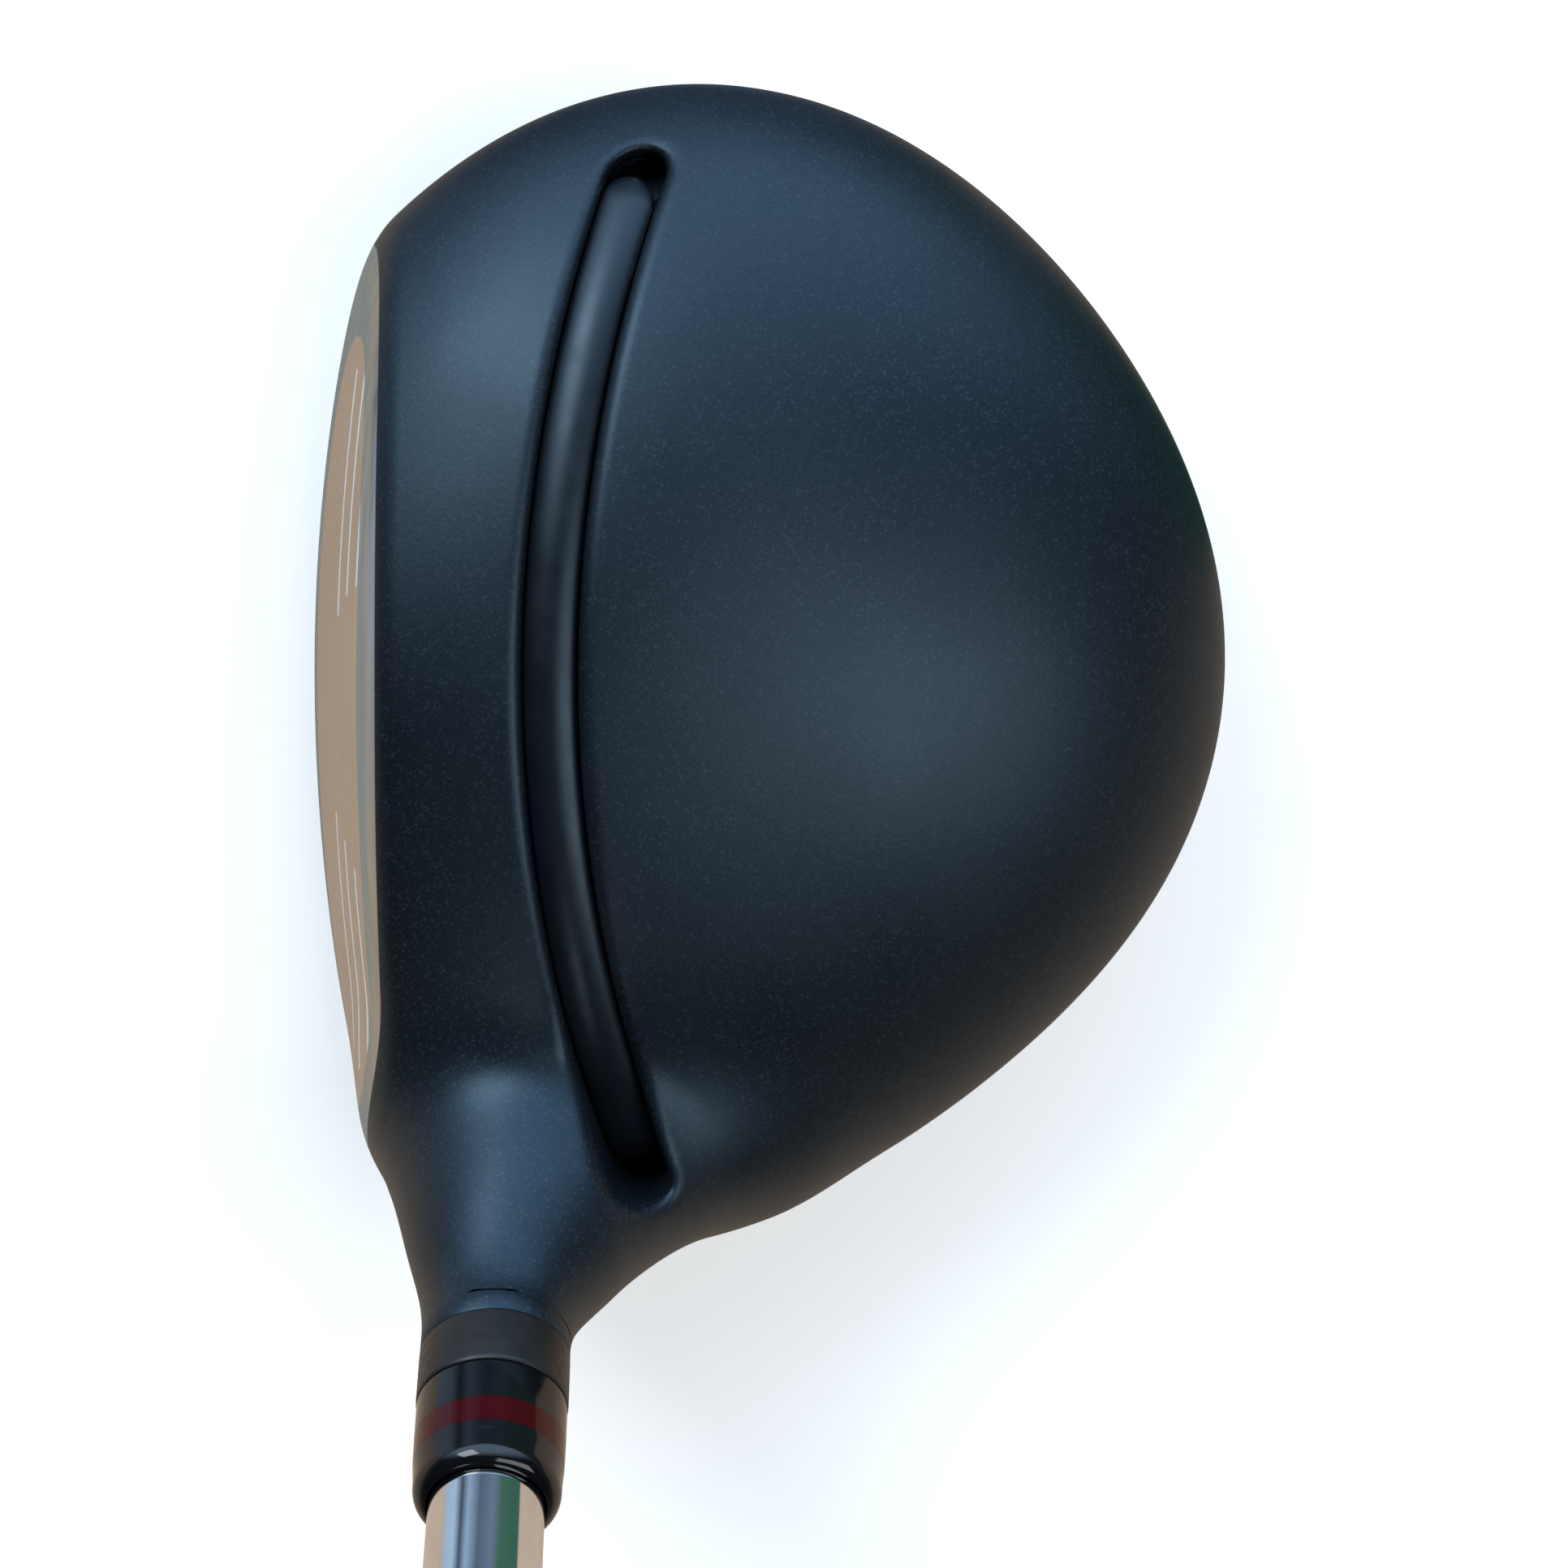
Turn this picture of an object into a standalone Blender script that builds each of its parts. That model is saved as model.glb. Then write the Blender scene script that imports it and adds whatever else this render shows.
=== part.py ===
"""Adjustable fairway wood, right-handed, soled at address. Blender 4.5, metres, +Z up.

The origin is the small flat on the lowest point of the sole. +Y runs from heel to toe, +X from the
face to the back, so the target is towards -X. Every size below is in millimetres.
"""

import math

import bmesh
import bpy
import numpy as np

MM = 0.001

# Head, in plan. The widest line is given by its radius about the origin, every 30 degrees
# from the back (+X) round by the toe (+Y), the face and the heel.
OUTLINE_RADII = (54.2, 53.4, 53.2, 51.0, 43.6, 40.0, 40.0, 42.0, 45.5, 48.0, 48.8, 51.3)
CROWN_HEIGHT = 38.0
SKIRT_HEIGHT = 16.5
SKIRT_DROP_BACK = 1.5
SKIRT_DROP_TOE = 1.0
CROWN_FULLNESS = 1.6
SOLE_FULLNESS = 2.2
SOLE_FLAT_SINK = 0.12
SPOKES = 60
CROWN_SPOKES = 72
CROWN_EDGE_SHARE = 0.987
CROWN_LEDGE = 1.0

# Face: a lofted plane with bulge (heel to toe) and roll (top to bottom).
FACE_X = -25.2
FACE_MID_Z = 19.0
FACE_MID_Y = -2.0
LOFT_DEG = 15.0
BULGE_RADIUS = 200.0
ROLL_RADIUS = 250.0
FACE_PLATE_HALF = (34.0, 10.4)
FACE_PLATE_THICK = 2.5
FACE_OUTLINE_POWER = 2.4
SCORELINE_WIDTH = 0.8
SCORELINE_DEPTH = 0.4
# Each scoreline: height, and its heel-side and toe-side ends.
SCORELINES = (
    (28.2, 9.0, 25.0), (24.4, 8.0, 27.0), (20.6, 6.0, 27.0),
    (26.0, -33.0, -16.0), (22.2, -34.0, -14.0), (18.4, -33.0, -12.0),
)

# Walls, and the clearance between pieces that touch.
SKIRT_WALL = 1.8
CROWN_WALL = 0.9
SOLE_WALL = 1.6
GAP = 0.3

# Crown slot, behind the face, with its filler bar.
SLOT_X = -5.4
SLOT_MID_Y = 1.0
SLOT_CURVE = 0.0040
SLOT_HALF_LENGTH = 44.6
SLOT_HALF_WIDTH = 2.35
SLOT_LIP = 1.0
SLOT_DEPTH = 4.4
BAR_RECESS = 1.1
BAR_DEPTH = 4.1

# Shaft axis: it leans towards the player, and the hosel ends at HOSEL_TOP on it.
LIE_DEG = 58.0
HOSEL_TOP = (-10.0, -54.0, 45.0)
HOSEL_RADIUS = 6.2
HOSEL_ROOT = (-10.8, -44.5)
HOSEL_ROOT_RADIUS = 9.0
BOSS_RADIUS = 8.0
BORE_RADIUS = 5.4
ROUND_SEGMENTS = 48
FINE_SEGMENTS = 24

# Heights along the shaft axis, measured from the top of the hosel and positive up the shaft.
COLLAR_TOP = 5.3
SPLINE_TOP = -23.4
SLEEVE_BOTTOM = -31.0
RETAINER_TOP = -31.3
BORE_FLOOR = -32.8
WEB_BOTTOM = -36.0
SCREW_TIP = -24.6
SCREW_HEAD_TOP = -37.3
SCREW_HEAD_BOTTOM = -41.3
SHAFT_TIP = -21.5
FERRULE_TOP = 15.4
RING_BOTTOM = 9.2
RING_TOP = 11.6
GRIP_MOUTH = 768.0
SHAFT_BUTT = 1035.0

# Adapter sleeve, its screw and the shaft.
SLEEVE_RADIUS = 5.2
SPLINE_ROOT_RADIUS = 4.7
SPLINE_TEETH = 12
SLEEVE_BORE = 4.7
SCREW_RADIUS = 2.4
SCREW_TAP_RADIUS = 2.55
SCREW_HEAD_RADIUS = 4.2
PORT_RADIUS = 5.6
TIP_RADIUS = 4.45
SHAFT_RADIUS = 4.65
BUTT_RADIUS = 7.62
TUBE_WALL = 0.36
FIRST_STEP = 235.0
STEP_COUNT = 13
STEP_SPACING = 36.0

# Grip.
TAPE_THICK = 0.25
THIN_GAP = 0.1
GRIP_MOUTH_RADIUS = 9.8
GRIP_BUTT_RADIUS = 13.0
CAP_THICK = 3.2
VENT_RADIUS = 1.3

# Back weight: a threaded slug in a port in the sole, its axis square to the sole there.
WEIGHT_X = 30.0
WEIGHT_TILT_DEG = 9.5
WEIGHT_HEAD_RADIUS = 6.4
WEIGHT_THREAD_RADIUS = 4.4
WEIGHT_BOSS_RADIUS = 9.4


# ---------------------------------------------------------------- materials

def material(name, colour, roughness, metallic=0.0):
    made = bpy.data.materials.new(name)
    made.use_nodes = True
    shader = made.node_tree.nodes["Principled BSDF"]
    shader.inputs["Base Color"].default_value = (*colour, 1.0)
    shader.inputs["Roughness"].default_value = roughness
    shader.inputs["Metallic"].default_value = metallic
    made.diffuse_color = (*colour, 1.0)
    return made


# ---------------------------------------------------------------- mesh helpers

def mesh_object(name, points, faces, look, parent=None, helper=False):
    """A smooth-shaded object from points in millimetres, in its parent's space."""
    mesh = bpy.data.meshes.new(name)
    mesh.from_pydata([tuple(MM * value for value in point) for point in points], [], faces)
    shell = bmesh.new()
    shell.from_mesh(mesh)
    bmesh.ops.recalc_face_normals(shell, faces=shell.faces)
    shell.to_mesh(mesh)
    shell.free()
    mesh.shade_smooth()
    mesh.set_sharp_from_angle(angle=math.radians(35.0))
    made = bpy.data.objects.new(name, mesh)
    bpy.context.scene.collection.objects.link(made)
    made.parent = parent
    if helper:
        made.hide_render = True
        made.display_type = "WIRE"
    else:
        mesh.materials.append(look)
    return made


def boolean(target, cutter, operation="DIFFERENCE"):
    modifier = target.modifiers.new(cutter.name, "BOOLEAN")
    modifier.operation = operation
    modifier.solver = "EXACT"
    modifier.object = cutter


def circle(radius, height, segments=ROUND_SEGMENTS):
    """A ring of points about local Z. The radius is one number, or one for each point."""
    turn = np.arange(segments) * math.tau / segments
    radii = np.broadcast_to(radius, segments)
    heights = np.full(segments, float(height))
    return np.column_stack([radii * np.cos(turn), radii * np.sin(turn), heights])


def skin_faces(ring_count, segments, hollow):
    """Quads from each ring to the next. A hollow skin joins its last ring to its first."""
    faces = []
    pairs = ring_count if hollow else ring_count - 1
    for row in range(pairs):
        low, high = row * segments, ((row + 1) % ring_count) * segments
        for side in range(segments):
            after = (side + 1) % segments
            faces.append((low + side, low + after, high + after, high + side))
    if not hollow:
        last = (ring_count - 1) * segments
        faces.append(tuple(range(segments)))
        faces.append(tuple(last + side for side in range(segments)))
    return faces


def turned(name, profile, look, parent, hollow=False, segments=ROUND_SEGMENTS, helper=False):
    """A solid turned about its parent's Z from (radius, height) pairs."""
    rings = [circle(radius, height, segments) for radius, height in profile]
    faces = skin_faces(len(rings), segments, hollow)
    return mesh_object(name, np.vstack(rings), faces, look, parent, helper)


def lobed(radius, depth, segments=FINE_SEGMENTS, lobes=6):
    """Radii of a six-lobed driver socket."""
    turn = np.arange(segments) * math.tau / segments
    return radius + depth * np.cos(lobes * turn)


def splined(tip, root):
    """Radii of a splined ring: each tooth takes two points at the tip and two at the root."""
    per_tooth = ROUND_SEGMENTS // SPLINE_TEETH
    half = per_tooth // 2
    return np.tile([tip] * half + [root] * (per_tooth - half), SPLINE_TEETH)


# ---------------------------------------------------------------- head surfaces

def outline_radius(angle):
    """Radius of the head's widest line, a smooth periodic curve through OUTLINE_RADII."""
    waves = np.fft.rfft(OUTLINE_RADII) / len(OUTLINE_RADII)
    orders = np.arange(len(waves))
    weights = np.where((orders == 0) | (orders == len(waves) - 1), 1.0, 2.0)
    phases = np.exp(1j * np.multiply.outer(angle, orders))
    return (phases * (weights * waves)).real.sum(axis=-1)


def skirt_height(angle):
    """Height of the widest line."""
    return SKIRT_HEIGHT - SKIRT_DROP_BACK * np.cos(angle) - SKIRT_DROP_TOE * np.sin(angle)


def dome(angle, share):
    """Height of the crown at a share of the way out to the widest line."""
    skirt = skirt_height(angle)
    return skirt + (CROWN_HEIGHT - skirt) * (1.0 - share**2) ** (1.0 / CROWN_FULLNESS)


def sole(angle, share):
    """Height of the sole, flat where it meets the ground."""
    rise = 1.0 - (1.0 - share**SOLE_FULLNESS) ** (1.0 / SOLE_FULLNESS)
    return np.maximum(skirt_height(angle) * rise - SOLE_FLAT_SINK, 0.0)


def crown_at(x, y):
    """Height of the crown over a point in plan."""
    angle = np.arctan2(y, x)
    share = np.hypot(x, y) / outline_radius(angle)
    return dome(angle, np.minimum(share, 1.0))


def face_at(y, z):
    """X of the face surface."""
    tilt = math.tan(math.radians(LOFT_DEG)) * (z - FACE_MID_Z)
    bulge = (y - FACE_MID_Y) ** 2 / (2.0 * BULGE_RADIUS)
    roll = (z - FACE_MID_Z) ** 2 / (2.0 * ROLL_RADIUS)
    return FACE_X + tilt + bulge + roll


def head_blank(name, skirt_in=0.0, crown_in=0.0, sole_in=0.0, look=None, helper=False):
    """The closed head form before the face is cut, drawn in by the given walls."""
    angle = np.arange(SPOKES) * math.tau / SPOKES
    radius = outline_radius(angle) - skirt_in
    crown_shares = np.sin(np.radians((90.0, 83.0, 75.0, 66.0, 56.0, 46.0, 35.0, 24.0, 12.0)))
    sole_shares = (0.97, 0.91, 0.83, 0.72, 0.58, 0.43, 0.28, 0.15)
    rings = []
    for share in crown_shares[::-1]:
        height = dome(angle, share) - crown_in * (1.0 - share**8)
        across = radius * share
        rings.append(np.column_stack([across * np.cos(angle), across * np.sin(angle), height]))
    for share in sole_shares:
        height = sole(angle, share) + sole_in
        across = radius * share
        rings.append(np.column_stack([across * np.cos(angle), across * np.sin(angle), height]))
    faces = skin_faces(len(rings), SPOKES, hollow=False)
    return mesh_object(name, np.vstack(rings), faces, look, helper=helper)


def face_slab(name, front, back, reach=70.0, columns=15, rows=9):
    """A block bounded on one side by the face surface moved back by `back`, and reaching out in front."""
    ys = np.linspace(-reach, reach, columns)
    zs = np.linspace(-20.0, 60.0, rows)
    grid_y, grid_z = (grid.ravel() for grid in np.meshgrid(ys, zs))
    skin = np.column_stack([face_at(grid_y, grid_z) + back, grid_y, grid_z])
    outer = np.column_stack([np.full(grid_y.size, front), grid_y, grid_z])
    count = grid_y.size
    faces = []
    for row in range(rows - 1):
        for column in range(columns - 1):
            corner = row * columns + column
            quad = (corner, corner + 1, corner + columns + 1, corner + columns)
            faces.append(quad)
            faces.append(tuple(count + index for index in quad))
    edge = [column for column in range(columns)]
    edge += [row * columns + columns - 1 for row in range(1, rows)]
    edge += [(rows - 1) * columns + column for column in range(columns - 2, -1, -1)]
    edge += [row * columns for row in range(rows - 2, 0, -1)]
    for first, second in zip(edge, edge[1:] + edge[:1]):
        faces.append((first, second, count + second, count + first))
    return mesh_object(name, np.vstack([skin, outer]), faces, None, helper=True)


def face_disc(name, grow, front, back, look=None, helper=False, points=48):
    """A piece of the face wall inside the plate's outline, from `front` to `back` of the surface."""
    turn = np.arange(points) * math.tau / points
    power = 2.0 / FACE_OUTLINE_POWER
    across = np.sign(np.cos(turn)) * np.abs(np.cos(turn)) ** power * (FACE_PLATE_HALF[0] + grow)
    up = np.sign(np.sin(turn)) * np.abs(np.sin(turn)) ** power * (FACE_PLATE_HALF[1] + grow)
    rings = []
    for share in (0.12, 0.4, 0.7, 1.0):
        y, z = FACE_MID_Y + share * across, FACE_MID_Z + share * up
        rings.append(np.column_stack([face_at(y, z) + front, y, z]))
    for share in (1.0, 0.6, 0.12):
        y, z = FACE_MID_Y + share * across, FACE_MID_Z + share * up
        rings.append(np.column_stack([face_at(y, z) + back, y, z]))
    faces = skin_faces(len(rings), points, hollow=False)
    return mesh_object(name, np.vstack(rings), faces, look, helper=helper)


def slot_centre(y):
    """X of the crown slot's centre line."""
    return SLOT_X + SLOT_CURVE * (y - SLOT_MID_Y) ** 2


def slot_strip(name, grow, top, bottom, camber=0.0, look=None, helper=False, stations=25):
    """A bar along the crown slot with round ends, from `top` to `bottom` below the crown."""
    half = SLOT_HALF_WIDTH + grow
    length = SLOT_HALF_LENGTH + grow
    sweep = np.sin(np.linspace(-1.0, 1.0, stations) * math.pi / 2.0) * (length - 0.02)
    past = np.clip((np.abs(sweep) - (length - half)) / half, 0.0, 1.0)
    widths = half * np.sqrt(1.0 - past**2)
    y = SLOT_MID_Y + sweep
    slope = 2.0 * SLOT_CURVE * sweep
    length_of = np.hypot(1.0, slope)
    normal = np.column_stack([1.0 / length_of, -slope / length_of])
    centre = np.column_stack([slot_centre(y), y])
    rings = []
    for side, drop, lift in ((-1, top, 0), (0, top, camber), (1, top, 0), (1, bottom, 0), (-1, bottom, 0)):
        plan = centre + side * widths[:, None] * normal
        height = crown_at(plan[:, 0], plan[:, 1]) - drop + lift
        rings.append(np.column_stack([plan, height]))
    section = len(rings)
    points = np.stack(rings, axis=1).reshape(-1, 3)
    faces = skin_faces(stations, section, hollow=False)
    return mesh_object(name, points, faces, look, helper=helper)


# ---------------------------------------------------------------- head pieces

def crown_limit(angle, clear=0.0):
    """Plan radius of the crown's edge where it stops short of the topline and of the hosel."""
    front = np.where(np.cos(angle) < -0.1, 17.8 / np.maximum(-np.cos(angle), 0.1), 500.0)
    away = math.hypot(*HOSEL_ROOT)
    offset = angle - math.atan2(HOSEL_ROOT[1], HOSEL_ROOT[0])
    inside = HOSEL_ROOT_RADIUS**2 - (away * np.sin(offset)) ** 2
    hit = away * np.cos(offset) - np.sqrt(np.maximum(inside, 0.0))
    hosel = np.where((inside > 0.0) & (np.cos(offset) > 0.0), hit, 500.0)
    return np.minimum(front, hosel) + clear


def crown_plate(look):
    angle = np.arange(CROWN_SPOKES) * math.tau / CROWN_SPOKES
    radius = outline_radius(angle)
    edge = np.minimum(CROWN_EDGE_SHARE * radius, crown_limit(angle))
    rings = []
    for share in (0.12, 0.35, 0.57, 0.75, 0.88, 0.95, 1.0):
        reach = edge * share
        height = dome(angle, reach / radius)
        rings.append(np.column_stack([reach * np.cos(angle), reach * np.sin(angle), height]))
    faces = skin_faces(len(rings), len(angle), hollow=False)[:-1]
    plate = mesh_object("crown_plate", np.vstack(rings), faces, look)
    wall = plate.modifiers.new("wall", "SOLIDIFY")
    wall.thickness = CROWN_WALL * MM
    wall.offset = -1.0
    wall.use_even_offset = False
    boolean(plate, slot_strip("slot_lip", SLOT_LIP, 0.5, SLOT_DEPTH, helper=True), "UNION")
    boolean(plate, slot_strip("slot_cut", 0.0, -6.0, 9.0, helper=True))
    return plate


def crown_opening(name):
    """What is cut from the body above the skirt to take the crown."""
    angle = np.arange(CROWN_SPOKES) * math.tau / CROWN_SPOKES
    edge = np.minimum(outline_radius(angle) + 5.0, crown_limit(angle, GAP))
    low = skirt_height(angle) + CROWN_LEDGE
    rings = []
    for share in (0.05, 1.0):
        rings.append(np.column_stack([share * edge * np.cos(angle), share * edge * np.sin(angle), low]))
    rings.append(np.column_stack([edge * np.cos(angle), edge * np.sin(angle), np.full(angle.size, 60.0)]))
    faces = skin_faces(len(rings), len(angle), hollow=False)
    return mesh_object(name, np.vstack(rings), faces, None, helper=True)


def head_body(look, axis, weight_axis):
    body = head_blank("head_body", look=look)
    boolean(body, face_slab("face_front_cut", -80.0, 0.0))
    flare = ((8.2, -43.0), (9.4, -32.0), (10.0, -24.0), (9.5, -18.5), (8.2, -14.5), (7.0, -10.5),
             (6.4, -6.5), (HOSEL_RADIUS, -2.5), (HOSEL_RADIUS, -0.15))
    boolean(body, turned("hosel_flare", flare, None, axis, helper=True), "UNION")

    cavity = head_blank("cavity", SKIRT_WALL, CROWN_WALL + GAP, SOLE_WALL, helper=True)
    boolean(cavity, face_slab("face_back_cut", -80.0, FACE_PLATE_THICK + 0.5))
    boss = ((BOSS_RADIUS, -70.0), (BOSS_RADIUS, 0.0))
    boolean(cavity, turned("hosel_boss", boss, None, axis, helper=True))
    weight_boss = ((WEIGHT_BOSS_RADIUS, -10.0), (WEIGHT_BOSS_RADIUS, 10.4))
    boolean(cavity, turned("weight_boss", weight_boss, None, weight_axis, helper=True))
    boolean(body, cavity)

    boolean(body, crown_opening("crown_opening"))
    boolean(body, face_disc("face_opening", GAP, -6.0, FACE_PLATE_THICK + 1.0, helper=True))
    boolean(body, turned("sleeve_bore", ((BORE_RADIUS, SPLINE_TOP - 0.3), (BORE_RADIUS, 6.0)),
                         None, axis, helper=True))
    broach = splined(SLEEVE_RADIUS + 0.25, SPLINE_ROOT_RADIUS + 0.25)
    boolean(body, turned("spline_broach", ((broach, BORE_FLOOR), (broach, SPLINE_TOP)),
                         None, axis, helper=True))
    boolean(body, turned("screw_hole", ((2.9, WEB_BOTTOM - 1.0), (2.9, BORE_FLOOR + 1.0)),
                         None, axis, helper=True))
    boolean(body, turned("wrench_port", ((PORT_RADIUS, -75.0), (PORT_RADIUS, WEB_BOTTOM)),
                         None, axis, helper=True))
    port = ((WEIGHT_THREAD_RADIUS + 0.15, 14.0), (WEIGHT_THREAD_RADIUS + 0.15, 5.2),
            (WEIGHT_HEAD_RADIUS + GAP, 5.2), (WEIGHT_HEAD_RADIUS + GAP, -8.0))
    boolean(body, turned("weight_port", port, None, weight_axis, helper=True))
    return body


def face_plate(look):
    plate = face_disc("face_plate", 0.0, 0.0, FACE_PLATE_THICK, look)
    points, faces = [], []
    for height, heel, toe in SCORELINES:
        base = len(points)
        middle = face_at(0.5 * (heel + toe), height)
        for y in (heel, toe):
            surface = 0.5 * (middle + face_at(y, height))
            for x in (surface - 3.0, surface + SCORELINE_DEPTH):
                for z in (height - 0.5 * SCORELINE_WIDTH, height + 0.5 * SCORELINE_WIDTH):
                    points.append((x, y, z))
        for quad in ((0, 1, 3, 2), (4, 5, 7, 6), (0, 1, 5, 4), (2, 3, 7, 6), (0, 2, 6, 4), (1, 3, 7, 5)):
            faces.append(tuple(base + corner for corner in quad))
    boolean(plate, mesh_object("scorelines", points, faces, None, helper=True))
    return plate


def sole_weight(metal, nylon, weight_axis):
    """The weight's head, thread and driver socket, and the washer under its head."""
    socket = lobed(2.3, 0.35)
    slug = ((WEIGHT_THREAD_RADIUS, 9.4), (WEIGHT_THREAD_RADIUS, 4.2), (WEIGHT_HEAD_RADIUS, 4.2),
            (WEIGHT_HEAD_RADIUS, 0.9), (WEIGHT_HEAD_RADIUS - 0.5, 0.4), (socket, 0.4), (socket, 3.4))
    turned("sole_weight", slug, metal, weight_axis, segments=FINE_SEGMENTS)
    washer = ((WEIGHT_HEAD_RADIUS - 0.1, 4.4), (WEIGHT_HEAD_RADIUS - 0.1, 5.0),
              (WEIGHT_THREAD_RADIUS + 0.3, 5.0), (WEIGHT_THREAD_RADIUS + 0.3, 4.4))
    turned("sole_weight_washer", washer, nylon, weight_axis, hollow=True, segments=FINE_SEGMENTS)


def hosel_screw(metal, nylon, axis):
    """The screw that holds the sleeve down, the washer that moves with it and the ring that keeps it in."""
    socket = lobed(2.1, 0.3)
    screw = ((SCREW_RADIUS, SCREW_TIP), (SCREW_RADIUS, SCREW_HEAD_TOP), (SCREW_HEAD_RADIUS, SCREW_HEAD_TOP),
             (SCREW_HEAD_RADIUS, SCREW_HEAD_BOTTOM + 0.5), (SCREW_HEAD_RADIUS - 0.5, SCREW_HEAD_BOTTOM),
             (socket, SCREW_HEAD_BOTTOM), (socket, SCREW_HEAD_BOTTOM + 3.0))
    turned("hosel_screw", screw, metal, axis, segments=FINE_SEGMENTS)
    washer = ((SCREW_RADIUS + GAP, WEB_BOTTOM - 1.0), (4.7, WEB_BOTTOM - 1.0),
              (4.7, WEB_BOTTOM - 0.2), (SCREW_RADIUS + GAP, WEB_BOTTOM - 0.2))
    turned("hosel_screw_washer", washer, metal, axis, hollow=True, segments=FINE_SEGMENTS)
    keeper = ((SCREW_TAP_RADIUS, RETAINER_TOP - 1.2), (SPLINE_ROOT_RADIUS - GAP, RETAINER_TOP - 1.2),
              (SPLINE_ROOT_RADIUS - GAP, RETAINER_TOP), (SCREW_TAP_RADIUS, RETAINER_TOP))
    turned("hosel_screw_retainer", keeper, nylon, axis, hollow=True, segments=FINE_SEGMENTS)


# ---------------------------------------------------------------- shaft pieces

def adapter_sleeve(look, axis):
    teeth = splined(SLEEVE_RADIUS, SPLINE_ROOT_RADIUS)
    profile = (
        (SCREW_TAP_RADIUS, SLEEVE_BOTTOM), (teeth, SLEEVE_BOTTOM), (teeth, SPLINE_TOP - 0.6),
        (SLEEVE_RADIUS, SPLINE_TOP), (SLEEVE_RADIUS, 0.15), (HOSEL_RADIUS, 0.15),
        (HOSEL_RADIUS - 0.02, COLLAR_TOP - 0.25), (HOSEL_RADIUS - 0.2, COLLAR_TOP),
        (SLEEVE_BORE + 0.15, COLLAR_TOP), (SLEEVE_BORE, SHAFT_TIP - 0.5), (SCREW_TAP_RADIUS, SHAFT_TIP - 0.5),
    )
    turned("adapter_sleeve", profile, look, axis, hollow=True)


def ferrule(black, red, axis):
    """Three stacked rings, flush with the collar below and closing in to the shaft above."""
    bore = SHAFT_RADIUS + 0.15
    lower = ((bore, COLLAR_TOP + 0.2), (6.05, COLLAR_TOP + 0.2), (6.12, COLLAR_TOP + 0.6),
             (6.1, RING_BOTTOM - 0.05), (bore, RING_BOTTOM - 0.05))
    turned("ferrule_lower", lower, black, axis, hollow=True)
    ring = ((bore, RING_BOTTOM + 0.05), (6.1, RING_BOTTOM + 0.05),
            (6.05, RING_TOP - 0.05), (bore, RING_TOP - 0.05))
    turned("ferrule_ring", ring, red, axis, hollow=True)
    upper = ((bore, RING_TOP + 0.05), (6.04, RING_TOP + 0.05), (5.9, FERRULE_TOP - 1.3),
             (5.7, FERRULE_TOP - 0.6), (5.3, FERRULE_TOP - 0.15), (4.95, FERRULE_TOP), (bore, FERRULE_TOP))
    turned("ferrule_upper", upper, black, axis, hollow=True)


def shaft_tube(steel, cork, axis):
    """A stepped steel tube. Each step widens it a little on the way to the butt."""
    outside = [(TIP_RADIUS, SHAFT_TIP), (TIP_RADIUS, COLLAR_TOP), (SHAFT_RADIUS, COLLAR_TOP + 4.0)]
    rise = (BUTT_RADIUS - SHAFT_RADIUS) / STEP_COUNT
    for step in range(STEP_COUNT):
        height = FIRST_STEP + step * STEP_SPACING
        outside.append((SHAFT_RADIUS + step * rise, height - 0.8))
        outside.append((SHAFT_RADIUS + (step + 1) * rise, height + 0.8))
    outside.append((BUTT_RADIUS, SHAFT_BUTT))
    last_step = FIRST_STEP + STEP_COUNT * STEP_SPACING
    inside = [(BUTT_RADIUS - TUBE_WALL, SHAFT_BUTT), (BUTT_RADIUS - TUBE_WALL, last_step),
              (SHAFT_RADIUS - TUBE_WALL, FIRST_STEP), (TIP_RADIUS - TUBE_WALL, COLLAR_TOP),
              (TIP_RADIUS - TUBE_WALL, SHAFT_TIP)]
    turned("shaft", outside + inside, steel, axis, hollow=True, segments=FINE_SEGMENTS)
    plug = ((3.4, SHAFT_TIP + 0.3), (3.75, SHAFT_TIP + 0.8), (3.75, SHAFT_TIP + 9.0), (3.4, SHAFT_TIP + 9.5))
    turned("shaft_tip_plug", plug, cork, axis, segments=FINE_SEGMENTS)


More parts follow.
